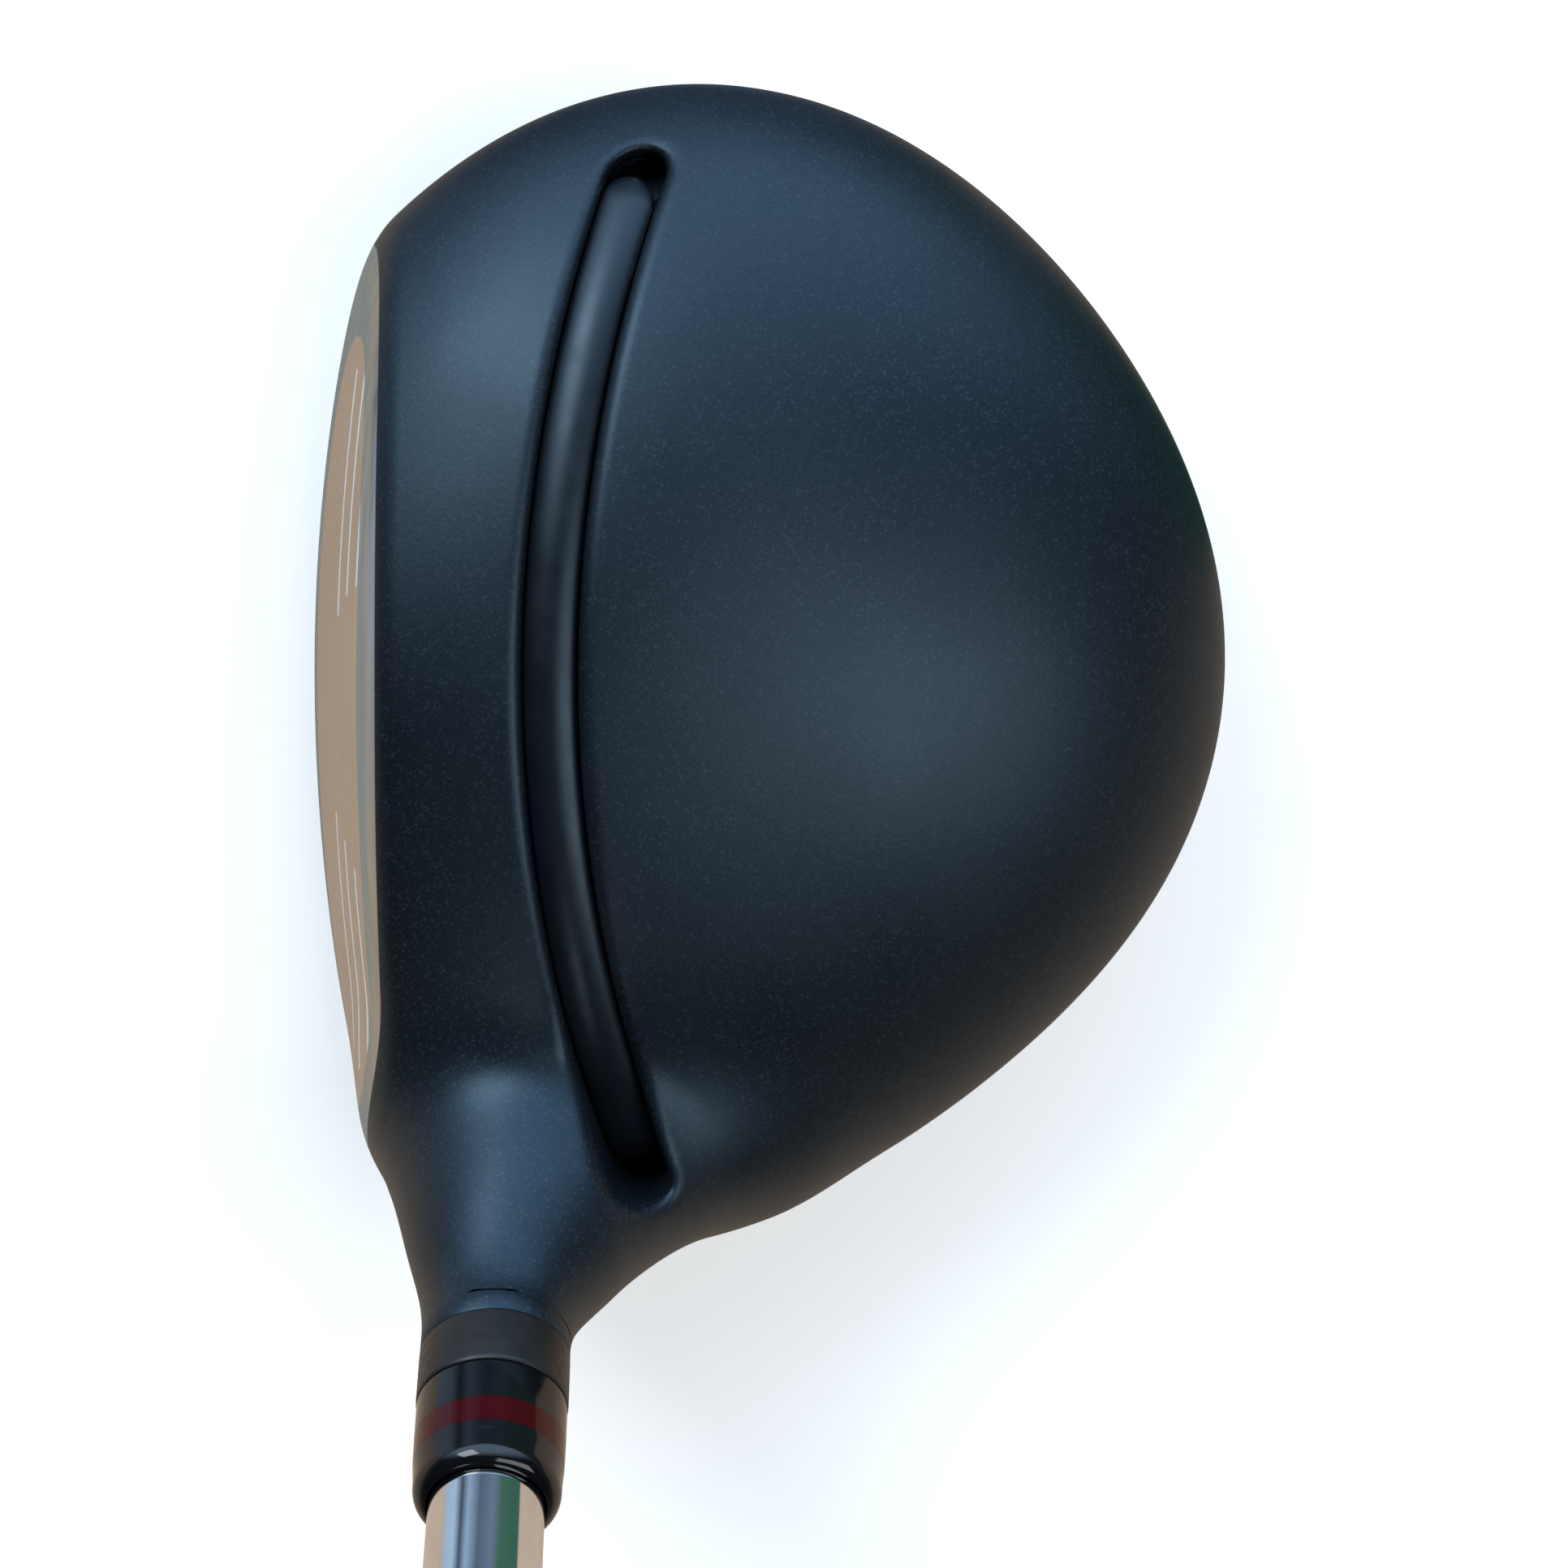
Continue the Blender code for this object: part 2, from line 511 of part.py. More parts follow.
def grip_pieces(tape, rubber, cap, axis):
    tape_in = BUTT_RADIUS + THIN_GAP
    tape_out = tape_in + TAPE_THICK
    wrap = ((tape_in, GRIP_MOUTH + 3.0), (tape_out, GRIP_MOUTH + 3.0),
            (tape_out, SHAFT_BUTT - 0.5), (tape_in, SHAFT_BUTT - 0.5))
    turned("grip_tape", wrap, tape, axis, hollow=True, segments=FINE_SEGMENTS)
    bore = tape_out + THIN_GAP
    length = SHAFT_BUTT - GRIP_MOUTH
    sleeve = [(bore, GRIP_MOUTH), (GRIP_MOUTH_RADIUS - 0.8, GRIP_MOUTH),
              (GRIP_MOUTH_RADIUS, GRIP_MOUTH + 1.2)]
    for share in (0.2, 0.4, 0.6, 0.8, 0.93, 1.0):
        swell = GRIP_MOUTH_RADIUS + (GRIP_BUTT_RADIUS - GRIP_MOUTH_RADIUS) * share**1.25
        sleeve.append((swell, GRIP_MOUTH + share * length))
    sleeve.append((bore, SHAFT_BUTT))
    turned("grip", sleeve, rubber, axis, hollow=True)
    disc = ((VENT_RADIUS, SHAFT_BUTT + GAP), (GRIP_BUTT_RADIUS, SHAFT_BUTT + GAP),
            (GRIP_BUTT_RADIUS, SHAFT_BUTT + CAP_THICK - 1.6),
            (GRIP_BUTT_RADIUS - 0.6, SHAFT_BUTT + CAP_THICK - 0.5),
            (GRIP_BUTT_RADIUS - 1.8, SHAFT_BUTT + CAP_THICK), (VENT_RADIUS, SHAFT_BUTT + CAP_THICK))
    turned("grip_cap", disc, cap, axis, hollow=True)


# ---------------------------------------------------------------- assembly

def axis_empty(name, location, tilt):
    """An empty whose Z is a turning axis."""
    empty = bpy.data.objects.new(name, None)
    empty.location = [MM * value for value in location]
    empty.rotation_euler = tilt
    empty.empty_display_size = 0.02
    bpy.context.scene.collection.objects.link(empty)
    return empty


def main():
    for old in list(bpy.data.objects):
        bpy.data.objects.remove(old)

    paint = material("satin_black_paint", (0.012, 0.014, 0.018), 0.35)
    crown_paint = material("crown_black_paint", (0.015, 0.017, 0.022), 0.38)
    steel = material("brushed_steel", (0.56, 0.53, 0.48), 0.32, 1.0)
    chrome = material("chrome", (0.78, 0.78, 0.78), 0.08, 1.0)
    sleeve_black = material("black_anodised", (0.02, 0.02, 0.022), 0.45, 0.6)
    gloss_black = material("gloss_black_plastic", (0.01, 0.01, 0.011), 0.12)
    red = material("red_plastic", (0.22, 0.012, 0.015), 0.15)
    bar_black = material("slot_filler", (0.014, 0.015, 0.02), 0.3)
    screw_steel = material("screw_steel", (0.45, 0.45, 0.45), 0.3, 1.0)
    washer_steel = material("washer_steel", (0.5, 0.5, 0.5), 0.35, 1.0)
    tungsten = material("weight_metal", (0.4, 0.39, 0.38), 0.35, 1.0)
    nylon = material("nylon", (0.06, 0.06, 0.06), 0.5)
    cork = material("plug_plastic", (0.5, 0.4, 0.25), 0.6)
    tape = material("grip_tape", (0.75, 0.73, 0.66), 0.7)
    rubber = material("grip_rubber", (0.02, 0.02, 0.02), 0.65)
    cap = material("grip_cap_rubber", (0.018, 0.018, 0.018), 0.5)

    shaft_axis = axis_empty("shaft_axis", HOSEL_TOP, (math.radians(90.0 - LIE_DEG), 0.0, 0.0))
    weight_foot = (WEIGHT_X, 0.0, float(sole(0.0, WEIGHT_X / outline_radius(0.0))))
    weight_axis = axis_empty("weight_axis", weight_foot, (0.0, -math.radians(WEIGHT_TILT_DEG), 0.0))

    head_body(paint, shaft_axis, weight_axis)
    crown_plate(crown_paint)
    face_plate(steel)
    slot_strip("crown_slot_bar", -GAP, BAR_RECESS, BAR_DEPTH, camber=0.5, look=bar_black)
    sole_weight(tungsten, nylon, weight_axis)
    hosel_screw(screw_steel, nylon, shaft_axis)
    bpy.data.objects["hosel_screw_washer"].data.materials[0] = washer_steel
    adapter_sleeve(sleeve_black, shaft_axis)
    ferrule(gloss_black, red, shaft_axis)
    shaft_tube(chrome, cork, shaft_axis)
    grip_pieces(tape, rubber, cap, shaft_axis)


main()
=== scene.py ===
"""Looks of the adjustable fairway wood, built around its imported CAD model. Blender 4.5, metres, +Z up.

The origin is the lowest point of the sole. +Y runs from heel to toe and +X from the face to the
back. Sizes below are in millimetres, and every mesh is scaled to metres when it is made.
"""

import math

import bpy
import numpy as np
from mathutils import Matrix, Vector

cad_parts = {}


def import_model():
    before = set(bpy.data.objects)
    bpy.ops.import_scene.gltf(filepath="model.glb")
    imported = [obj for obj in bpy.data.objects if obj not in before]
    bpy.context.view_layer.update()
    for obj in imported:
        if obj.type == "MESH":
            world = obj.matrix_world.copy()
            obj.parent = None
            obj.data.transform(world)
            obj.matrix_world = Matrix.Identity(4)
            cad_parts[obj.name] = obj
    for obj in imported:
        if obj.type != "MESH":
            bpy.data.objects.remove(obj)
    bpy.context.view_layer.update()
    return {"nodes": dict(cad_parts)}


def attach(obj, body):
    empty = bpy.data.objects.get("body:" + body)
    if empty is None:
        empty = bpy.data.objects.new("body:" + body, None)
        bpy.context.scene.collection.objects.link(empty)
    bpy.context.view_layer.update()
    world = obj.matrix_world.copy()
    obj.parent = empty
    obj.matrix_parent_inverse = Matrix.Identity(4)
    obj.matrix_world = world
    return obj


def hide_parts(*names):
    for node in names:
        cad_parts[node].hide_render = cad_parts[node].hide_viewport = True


MM = 0.001

# Head, in plan: the widest line's radius about the origin every 30 degrees from the back (+X)
# round by the toe (+Y), the face and the heel.
OUTLINE_RADII = (54.2, 53.4, 53.5, 51.2, 43.9, 40.0, 40.0, 42.0, 47.0, 50.5, 49.2, 51.2)
OUTLINE_STEPS = 2880
CROWN_HEIGHT = 38.0
SKIRT_HEIGHT = 16.5
SKIRT_DROP_BACK = 1.5
SKIRT_DROP_TOE = 1.0
CROWN_FULLNESS = 1.6
SOLE_FULLNESS = 2.2
SOLE_FLAT_SINK = 0.12

# Face: a lofted plane with bulge and roll, meeting the crown and sole in a rounded edge.
FACE_X = -25.2
FACE_MID_Y = -4.0
FACE_MID_Z = 19.0
LOFT = math.radians(15.0)
BULGE_RADIUS = 220.0
ROLL_RADIUS = 250.0
FACE_PLATE_HALF = (34.0, 10.4)
FACE_OUTLINE_POWER = 2.4
FACE_EDGE_ROUND = 2.0
SCORELINE_WIDTH = 0.7
SCORELINE_DEPTH = 0.12
# Each scoreline: height, and its heel-side and toe-side ends.
SCORELINES = (
    (28.2, 9.0, 25.0), (24.4, 8.0, 27.0), (20.6, 6.0, 27.0),
    (26.0, -33.0, -16.0), (22.2, -34.0, -14.0), (18.4, -33.0, -12.0),
)

# Walls of the three shells, and the strip near bores where the body is thin.
CROWN_WALL = 0.9
FACE_WALL = 2.2
BODY_WALL = 1.4
BORE_WALL = 0.3

# Crown slot and its filler bar.
SLOT_X = -5.4
SLOT_MID_Y = 1.0
SLOT_CURVE = 0.0040
SLOT_HALF_LENGTH = 44.6
SLOT_HALF_WIDTH = 2.35
SLOT_DEPTH = 5.0
SLOT_EDGE_ROUND = 1.5
SLOT_LOWEST = SKIRT_HEIGHT - 2.0
BAR_GAP = 0.12
BAR_RECESS = 0.95
BAR_BOTTOM = 4.8
BAR_CAMBER = 0.6
BAR_POCKET = 2.2

# Crown edge, where it stops short of the topline and of the hosel.
CROWN_EDGE_SHARE = 0.985
CROWN_FRONT = 17.8
HOSEL_ROOT = (-10.8, -44.5)
HOSEL_ROOT_RADIUS = 9.0

# Shaft axis, and heights along it from the top of the hosel, positive up the shaft.
LIE = math.radians(58.0)
HOSEL_TOP = np.array((-10.0, -54.0, 45.0))
UP_SHAFT = np.array((0.0, -math.cos(LIE), math.sin(LIE)))
HOSEL_RADIUS = 6.2
HOSEL_FLARE = 3.4
HOSEL_FLARE_LENGTH = 20.0
HOSEL_FOOT = -30.0
HOSEL_BLEND = 9.0
HEEL_WEB = ((-5.2, -45.6, 31.5), (9.0, -39.2, 19.0))
HEEL_WEB_RADIUS = 6.4
HEEL_WEB_BLEND = 9.0
HOSEL_RIM = 2.0
BORE_RADIUS = 5.4
BROACH_RADIUS = 5.25
PORT_RADIUS = 5.6
SCREW_HOLE_RADIUS = 2.9
SPLINE_TOP = -23.4
SLEEVE_BOTTOM = -31.0
BORE_FLOOR = -32.8
WEB_BOTTOM = -36.0
SCREW_TIP = -24.6
SCREW_HEAD_TOP = -37.3
SCREW_HEAD_BOTTOM = -41.3
SHAFT_TIP = -21.5
COLLAR_TOP = 5.3
RING_BOTTOM = 9.2
RING_TOP = 11.6
FERRULE_TOP = 15.4
GRIP_MOUTH = 768.0
SHAFT_BUTT = 1035.0

# Sleeve, screw and shaft.
SLEEVE_RADIUS = 5.2
SPLINE_ROOT_RADIUS = 4.7
SPLINE_TEETH = 12
SLEEVE_BORE = 4.7
SCREW_RADIUS = 2.4
SCREW_PITCH = 0.8
SCREW_TAP_RADIUS = 2.55
SCREW_HEAD_RADIUS = 4.2
TIP_RADIUS = 4.45
SHAFT_RADIUS = 4.65
BUTT_RADIUS = 7.62
TUBE_WALL = 0.36
FIRST_STEP = 235.0
STEP_COUNT = 13
STEP_SPACING = 36.0
GRIP_BORE = 8.07
GRIP_MOUTH_RADIUS = 9.8
GRIP_BUTT_RADIUS = 13.0
CAP_THICK = 3.2
CAP_GAP = 0.3
VENT_RADIUS = 1.3

# Back weight, in a port square to the sole.
WEIGHT_X = 30.0
WEIGHT_TILT = math.radians(9.5)
WEIGHT_HEAD_RADIUS = 6.4
WEIGHT_THREAD_RADIUS = 4.4
WEIGHT_PITCH = 1.0
PORT_STEP = 5.2

HEAD_STEP = 0.4
LATHE_SEGMENTS = 96

# Camera: above the head, leaning towards the toe.
CAMERA_FROM_HOSEL = np.array((17.1, 81.4, 277.7))
CAMERA_LEAN_TOE = math.radians(6.9)
CAMERA_LEAN_FACE = math.radians(1.4)
LENS_MM = 79.2
SENSOR_MM = 36.0

# Surroundings: what the camera sees, and what the polished pieces mirror.
BACKDROP = (0.92, 0.92, 0.91)
# Painted glow: the floor emits its own colour at this strength, though it is no lamp.
FLOOR_GLOW = 0.45
ROOM_LOW = (0.16, 0.13, 0.11)
ROOM_HIGH = (0.012, 0.020, 0.032)
WINDOW = (1.45, 2.05, 2.75)
# Painted reflections: colours that the floor shows only to rays other than the camera's, laid out so that the
# chrome shaft mirrors them as its stripes.
FLOOR_REFLECTION_BANDS = (
    (0.0, (0.44, 0.34, 0.26)), (0.05, (0.34, 0.40, 0.47)),
    (0.16, (0.34, 0.44, 0.54)), (0.24, (0.02, 0.03, 0.05)),
    (0.32, (0.22, 0.30, 0.40)), (0.45, (0.05, 0.07, 0.10)), (0.60, (0.10, 0.13, 0.18)),
    (0.70, (0.03, 0.09, 0.05)), (0.90, (0.03, 0.10, 0.06)), (1.0, (0.10, 0.09, 0.08)),
)


# ---------------------------------------------------------------- node materials

class Look:
    """A Principled material and the few node patterns that this club's finishes are made of."""

    def __init__(self, name, colour, roughness, metallic=0.0, **sockets):
        self.material = bpy.data.materials.new(name)
        self.material.use_nodes = True
        self.tree = self.material.node_tree
        self.shader = self.tree.nodes["Principled BSDF"]
        self.colour = (*colour, 1.0)
        self.shader.inputs["Base Color"].default_value = self.colour
        self.shader.inputs["Roughness"].default_value = roughness
        self.shader.inputs["Metallic"].default_value = metallic
        for socket, value in sockets.items():
            self.shader.inputs[socket.replace("_", " ")].default_value = value
        self.place = self.tree.nodes.new("ShaderNodeTexCoord").outputs["Object"]
        self.bump_into = self.shader.inputs["Normal"]

    def node(self, kind, **inputs):
        made = self.tree.nodes.new(kind)
        for socket, value in inputs.items():
            self.put(value, made.inputs[socket.replace("_", " ")])
        return made

    def put(self, value, socket):
        if isinstance(value, bpy.types.NodeSocket):
            self.tree.links.new(value, socket)
        else:
            socket.default_value = value

    def math(self, operation, first, second=0.0, clamp=False):
        made = self.tree.nodes.new("ShaderNodeMath")
        made.operation = operation
        made.use_clamp = clamp
        self.put(first, made.inputs[0])
        self.put(second, made.inputs[1])
        return made.outputs[0]

    def noise(self, scale, stretch=(1.0, 1.0, 1.0), detail=2.0):
        """Noise with `scale` lumps to the metre, drawn out along an axis where `stretch` is small."""
        mapping = self.node("ShaderNodeMapping", Vector=self.place, Scale=stretch)
        made = self.node("ShaderNodeTexNoise", Vector=mapping.outputs[0], Scale=scale, Detail=detail)
        return made.outputs["Fac"]

    def spread(self, value, low, high, start=0.3, end=0.7):
        made = self.node("ShaderNodeMapRange", Value=value)
        for socket, number in zip(("From Min", "From Max", "To Min", "To Max"), (start, end, low, high)):
            made.inputs[socket].default_value = number
        return made.outputs[0]

    def mix(self, share, first, second):
        made = self.tree.nodes.new("ShaderNodeMix")
        made.data_type = "RGBA"
        self.put(share, made.inputs[0])
        self.put(first, made.inputs[6])
        self.put(second, made.inputs[7])
        return made.outputs[2]

    def vary_roughness(self, value, low, high):
        self.put(self.spread(value, low, high), self.shader.inputs["Roughness"])

    def vary_colour(self, value, other, start=0.3, end=0.7):
        share = self.spread(value, 0.0, 1.0, start, end)
        self.put(self.mix(share, self.colour, (*other, 1.0)), self.shader.inputs["Base Color"])

    def bump(self, height, depth_mm, strength=1.0):
        """Adds relief of a given depth. Later calls go under the earlier ones."""
        made = self.node("ShaderNodeBump", Height=height, Strength=strength, Distance=depth_mm * MM)
        self.put(made.outputs[0], self.bump_into)
        self.bump_into = made.inputs["Normal"]

    def attribute(self, name):
        made = self.tree.nodes.new("ShaderNodeAttribute")
        made.attribute_name = name
        return made.outputs["Fac"]


def black_paint():
    """Satin black with a fine metallic grain, and bare brushed steel where `steel_mm` is above about 0.1."""
    look = Look("satin_black_paint", (0.0030, 0.0042, 0.0065), 0.44, Specular_IOR_Level=0.6,
                Specular_Tint=(0.52, 0.78, 1.0, 1.0))
    flake = look.tree.nodes.new("ShaderNodeTexVoronoi")
    look.put(look.place, flake.inputs["Vector"])
    flake.inputs["Scale"].default_value = 5200.0
    sparkle = look.node("ShaderNodeSeparateColor", Color=flake.outputs["Color"]).outputs[0]
    glint = look.spread(sparkle, 0.0, 1.0, 0.80, 1.0)
    cloud = look.noise(60.0)
    body = look.mix(glint, look.colour, (0.018, 0.024, 0.032, 1.0))
    body = look.mix(look.spread(cloud, 0.0, 0.35), body, (0.006, 0.007, 0.009, 1.0))
    streak = look.noise(900.0, (1.0, 0.03, 1.0), 3.0)
    steel = look.mix(look.spread(streak, 0.0, 1.0), (0.50, 0.47, 0.43, 1.0), (0.64, 0.60, 0.55, 1.0))
    edge = look.spread(look.attribute("steel_mm"), 0.0, 1.0, 0.02, 0.14)
    look.put(look.mix(edge, body, steel), look.shader.inputs["Base Color"])
    look.put(edge, look.shader.inputs["Metallic"])
    painted = look.spread(cloud, 0.40, 0.47)
    brushed = look.spread(streak, 0.24, 0.36)
    rough = look.math("ADD", look.math("MULTIPLY", painted, look.math("SUBTRACT", 1.0, edge)),
                      look.math("MULTIPLY", brushed, edge))
    look.put(rough, look.shader.inputs["Roughness"])
    look.bump(look.noise(3000.0, detail=1.0), 0.016, 0.6)
    return look.material


def face_steel():
    """Steel brushed from heel to toe, with pale paint in the scorelines."""
    look = Look("brushed_face_steel", (0.50, 0.47, 0.43), 0.3, 1.0, Anisotropic=0.4)
    streak = look.noise(900.0, (1.0, 0.03, 1.0), 3.0)
    band = look.noise(70.0, (1.0, 1.0, 0.4), 2.0)
    steel = look.mix(look.spread(streak, 0.0, 1.0), look.colour, (0.64, 0.60, 0.55, 1.0))
    steel = look.mix(look.spread(band, 0.0, 0.35), steel, (0.40, 0.37, 0.34, 1.0))
    fill = look.spread(look.attribute("scoreline_mm"), 0.0, 0.9, 0.0, 0.10)
    look.put(look.mix(fill, steel, (0.93, 0.92, 0.88, 1.0)), look.shader.inputs["Base Color"])
    look.put(look.math("SUBTRACT", 1.0, fill), look.shader.inputs["Metallic"])
    look.vary_roughness(streak, 0.24, 0.36)
    look.bump(streak, 0.004, 0.6)
    return look.material


def bar_elastomer():
    look = Look("slot_bar_elastomer", (0.0028, 0.0038, 0.0058), 0.38, Specular_IOR_Level=0.55,
                Specular_Tint=(0.6, 0.82, 1.0, 1.0))
    look.vary_roughness(look.noise(300.0), 0.34, 0.42)
    look.vary_colour(look.noise(40.0), (0.005, 0.006, 0.008))
    look.bump(look.noise(1500.0), 0.006, 0.5)
    return look.material


def collar_anodised():
    look = Look("black_anodised_aluminium", (0.020, 0.019, 0.019), 0.4, 0.55)
    turned = look.noise(1500.0, (0.4, 0.4, 1.0), 2.0)
    look.vary_roughness(turned, 0.34, 0.48)
    look.vary_colour(look.noise(200.0), (0.034, 0.032, 0.031))
    look.bump(turned, 0.004, 0.5)
    return look.material


def ferrule_gloss(name, colour, other, mirror=0.5):
    look = Look(name, colour, 0.08, Specular_IOR_Level=mirror)
    look.vary_roughness(look.noise(500.0), 0.06, 0.12)
    look.vary_colour(look.noise(90.0), other)
    look.bump(look.noise(260.0), 0.010, 0.4)
    return look.material


def chrome():
    look = Look("shaft_chrome", (0.80, 0.80, 0.80), 0.07, 1.0)
    smudge = look.noise(24.0, (1.0, 1.0, 0.5), 4.0)
    look.vary_roughness(smudge, 0.045, 0.12)
    look.vary_colour(look.noise(400.0, (1.0, 1.0, 0.1)), (0.72, 0.73, 0.75))
    look.bump(look.noise(220.0), 0.003, 0.3)
    return look.material


def machined(name, colour, other, low, high):
    look = Look(name, colour, 0.3, 1.0)
    turned = look.noise(1800.0, (0.3, 0.3, 1.0), 2.0)
    look.vary_roughness(turned, low, high)
    look.vary_colour(look.noise(150.0), other)
    look.bump(turned, 0.005, 0.5)
    return look.material


def moulded(name, colour, other, low, high, lumps=900.0, depth_mm=0.02):
    look = Look(name, colour, 0.5)
    look.vary_roughness(look.noise(250.0), low, high)
    look.vary_colour(look.noise(120.0, detail=4.0), other)
    look.bump(look.noise(lumps, detail=3.0), depth_mm, 0.6)
    return look.material


# ---------------------------------------------------------------- distance fields

def smooth_max(first, second, reach):
    """The larger of two fields, with the crease between them rounded over `reach` millimetres."""
    near = np.maximum(reach - np.abs(first - second), 0.0) / reach
    return np.maximum(first, second) + near**2 * reach / 4.0


def smooth_min(first, second, reach):
    return -smooth_max(-first, -second, reach)


def outline_radius(angle):
    """Radius of the head's widest line, a smooth periodic curve through OUTLINE_RADII."""
    waves = np.fft.rfft(OUTLINE_RADII) / len(OUTLINE_RADII)
    orders = np.arange(len(waves))
    weights = np.where((orders == 0) | (orders == len(waves) - 1), 1.0, 2.0)
    turn = np.linspace(-math.pi, math.pi, OUTLINE_STEPS + 1)
    phases = np.exp(1j * np.multiply.outer(turn, orders))
    return np.interp(angle, turn, (phases * (weights * waves)).real.sum(axis=-1))


def skirt_height(angle):
    return SKIRT_HEIGHT - SKIRT_DROP_BACK * np.cos(angle) - SKIRT_DROP_TOE * np.sin(angle)


def crown_at(x, y):
    """Height of the crown over a point in plan."""
    angle = np.arctan2(y, x)
    share = np.minimum(np.hypot(x, y) / outline_radius(angle), 1.0)
    skirt = skirt_height(angle)
    return skirt + (CROWN_HEIGHT - skirt) * (1.0 - share**2) ** (1.0 / CROWN_FULLNESS)


def face_at(y, z):
    """X of the face surface."""
    bulge = (y - FACE_MID_Y) ** 2 / (2.0 * BULGE_RADIUS)
    roll = (z - FACE_MID_Z) ** 2 / (2.0 * ROLL_RADIUS)
    return FACE_X + math.tan(LOFT) * (z - FACE_MID_Z) + bulge + roll


def form(x, y, z):
    """Distance from the head's whole form, before the face is cut."""
    angle = np.arctan2(y, x)
    radius = outline_radius(angle)
    skirt = skirt_height(angle)
    share = np.hypot(x, y) / radius
    above = np.maximum(z - skirt, 0.0) / (CROWN_HEIGHT - skirt)
    below = np.maximum(skirt - z - SOLE_FLAT_SINK, 0.0) / skirt
    upper = share**2 + above**CROWN_FULLNESS - 1.0
    upper_slope = np.hypot(2.0 * share / radius,
                           CROWN_FULLNESS * above ** (CROWN_FULLNESS - 1.0) / (CROWN_HEIGHT - skirt))
    lower = share**SOLE_FULLNESS + below**SOLE_FULLNESS - 1.0
    lower_slope = SOLE_FULLNESS * np.hypot(share ** (SOLE_FULLNESS - 1.0) / radius,
                                           below ** (SOLE_FULLNESS - 1.0) / skirt)
    level = np.where(z > skirt, upper, lower)
    slope = np.where(z > skirt, upper_slope, lower_slope)
    return level / np.maximum(slope, 0.02)


def in_front_of_face(x, y, z):
    return (face_at(y, z) - x) * math.cos(LOFT)


def along_shaft(x, y, z):
    """Height along the shaft axis, and distance from it."""
    dx, dy, dz = x - HOSEL_TOP[0], y - HOSEL_TOP[1], z - HOSEL_TOP[2]
    height = dx * UP_SHAFT[0] + dy * UP_SHAFT[1] + dz * UP_SHAFT[2]
    away = np.sqrt(np.maximum(dx**2 + dy**2 + dz**2 - height**2, 0.0))
    return height, away


def slot_centre(y):
    return SLOT_X + SLOT_CURVE * (y - SLOT_MID_Y) ** 2


def slot_side(x, y):
    """Distance in plan from the slot's outline, negative inside it."""
    slope = 2.0 * SLOT_CURVE * (y - SLOT_MID_Y)
    across = (x - slot_centre(y)) / np.sqrt(1.0 + slope**2)
    past = np.maximum(np.abs(y - SLOT_MID_Y) - (SLOT_HALF_LENGTH - SLOT_HALF_WIDTH), 0.0)
    return np.hypot(across, past) - SLOT_HALF_WIDTH


def weight_frame():
    angle = 0.0
    share = WEIGHT_X / outline_radius(angle)
    rise = 1.0 - (1.0 - share**SOLE_FULLNESS) ** (1.0 / SOLE_FULLNESS)
    foot = np.array((WEIGHT_X, 0.0, skirt_height(angle) * rise - SOLE_FLAT_SINK))
    inward = np.array((-math.sin(WEIGHT_TILT), 0.0, math.cos(WEIGHT_TILT)))
    return foot, inward


def weight_port(x, y, z):
    foot, inward = weight_frame()
    dx, dy, dz = x - foot[0], y - foot[1], z - foot[2]
    depth = dx * inward[0] + dy * inward[1] + dz * inward[2]
    away = np.sqrt(np.maximum(dx**2 + dy**2 + dz**2 - depth**2, 0.0))
    wide = np.maximum(away - WEIGHT_HEAD_RADIUS - 0.3, depth - PORT_STEP)
    narrow = np.maximum(away - WEIGHT_THREAD_RADIUS - 0.15, depth - PORT_STEP - 8.0)
    return np.minimum(wide, narrow)


def heel_web(x, y, z):
    """Distance from a round bar that fills the hollow between the hosel and the back of the heel."""
    start, end = (np.array(point) for point in HEEL_WEB)
    run = end - start
    dx, dy, dz = x - start[0], y - start[1], z - start[2]
    along = np.clip((dx * run[0] + dy * run[1] + dz * run[2]) / (run @ run), 0.0, 1.0)
    across = (dx - along * run[0]) ** 2 + (dy - along * run[1]) ** 2 + (dz - along * run[2]) ** 2
    return np.sqrt(across) - HEEL_WEB_RADIUS


def head_skin(x, y, z):
    """The whole head's outside: body, crown and face as one continuous surface, with its openings."""
    height, away = along_shaft(x, y, z)
    blank = form(x, y, z)
    solid = smooth_max(blank, in_front_of_face(x, y, z), FACE_EDGE_ROUND)
    foot = np.maximum(HOSEL_FOOT - height, 0.0)
    drop = np.clip((-HOSEL_RIM - height) / HOSEL_FLARE_LENGTH, 0.0, 1.0)
    flare = HOSEL_FLARE * drop * drop * (3.0 - 2.0 * drop)
    hosel = np.hypot(away, foot) - HOSEL_RADIUS - flare
    solid = smooth_min(solid, hosel, HOSEL_BLEND)
    solid = smooth_min(solid, heel_web(x, y, z), HEEL_WEB_BLEND)
    slot = np.maximum(slot_side(x, y), -(blank + SLOT_DEPTH))
    slot = np.maximum(slot, SLOT_LOWEST - z)
    solid = smooth_max(solid, -slot, SLOT_EDGE_ROUND)
    bore = np.where(height > SPLINE_TOP - 0.3, away - BORE_RADIUS, away - BROACH_RADIUS)
    bore = np.maximum(bore, BORE_FLOOR - height)
    port = np.maximum(away - PORT_RADIUS, height - WEB_BOTTOM)
    holes = np.minimum(np.minimum(bore, port), away - SCREW_HOLE_RADIUS)
    holes = np.minimum(holes, weight_port(x, y, z))
    solid = smooth_max(solid, -holes, 0.5)
    return np.maximum(solid, -z)


def scoreline_side(y, z):
    """Distance inside the nearest scoreline's edge, positive in the groove."""
    inside = np.full(np.shape(y), -9.0)
    for height, heel, toe in SCORELINES:
        past = np.maximum(np.maximum(heel - y, y - toe), 0.0)
        inside = np.maximum(inside, 0.5 * SCORELINE_WIDTH - np.hypot(z - height, past))
    return inside


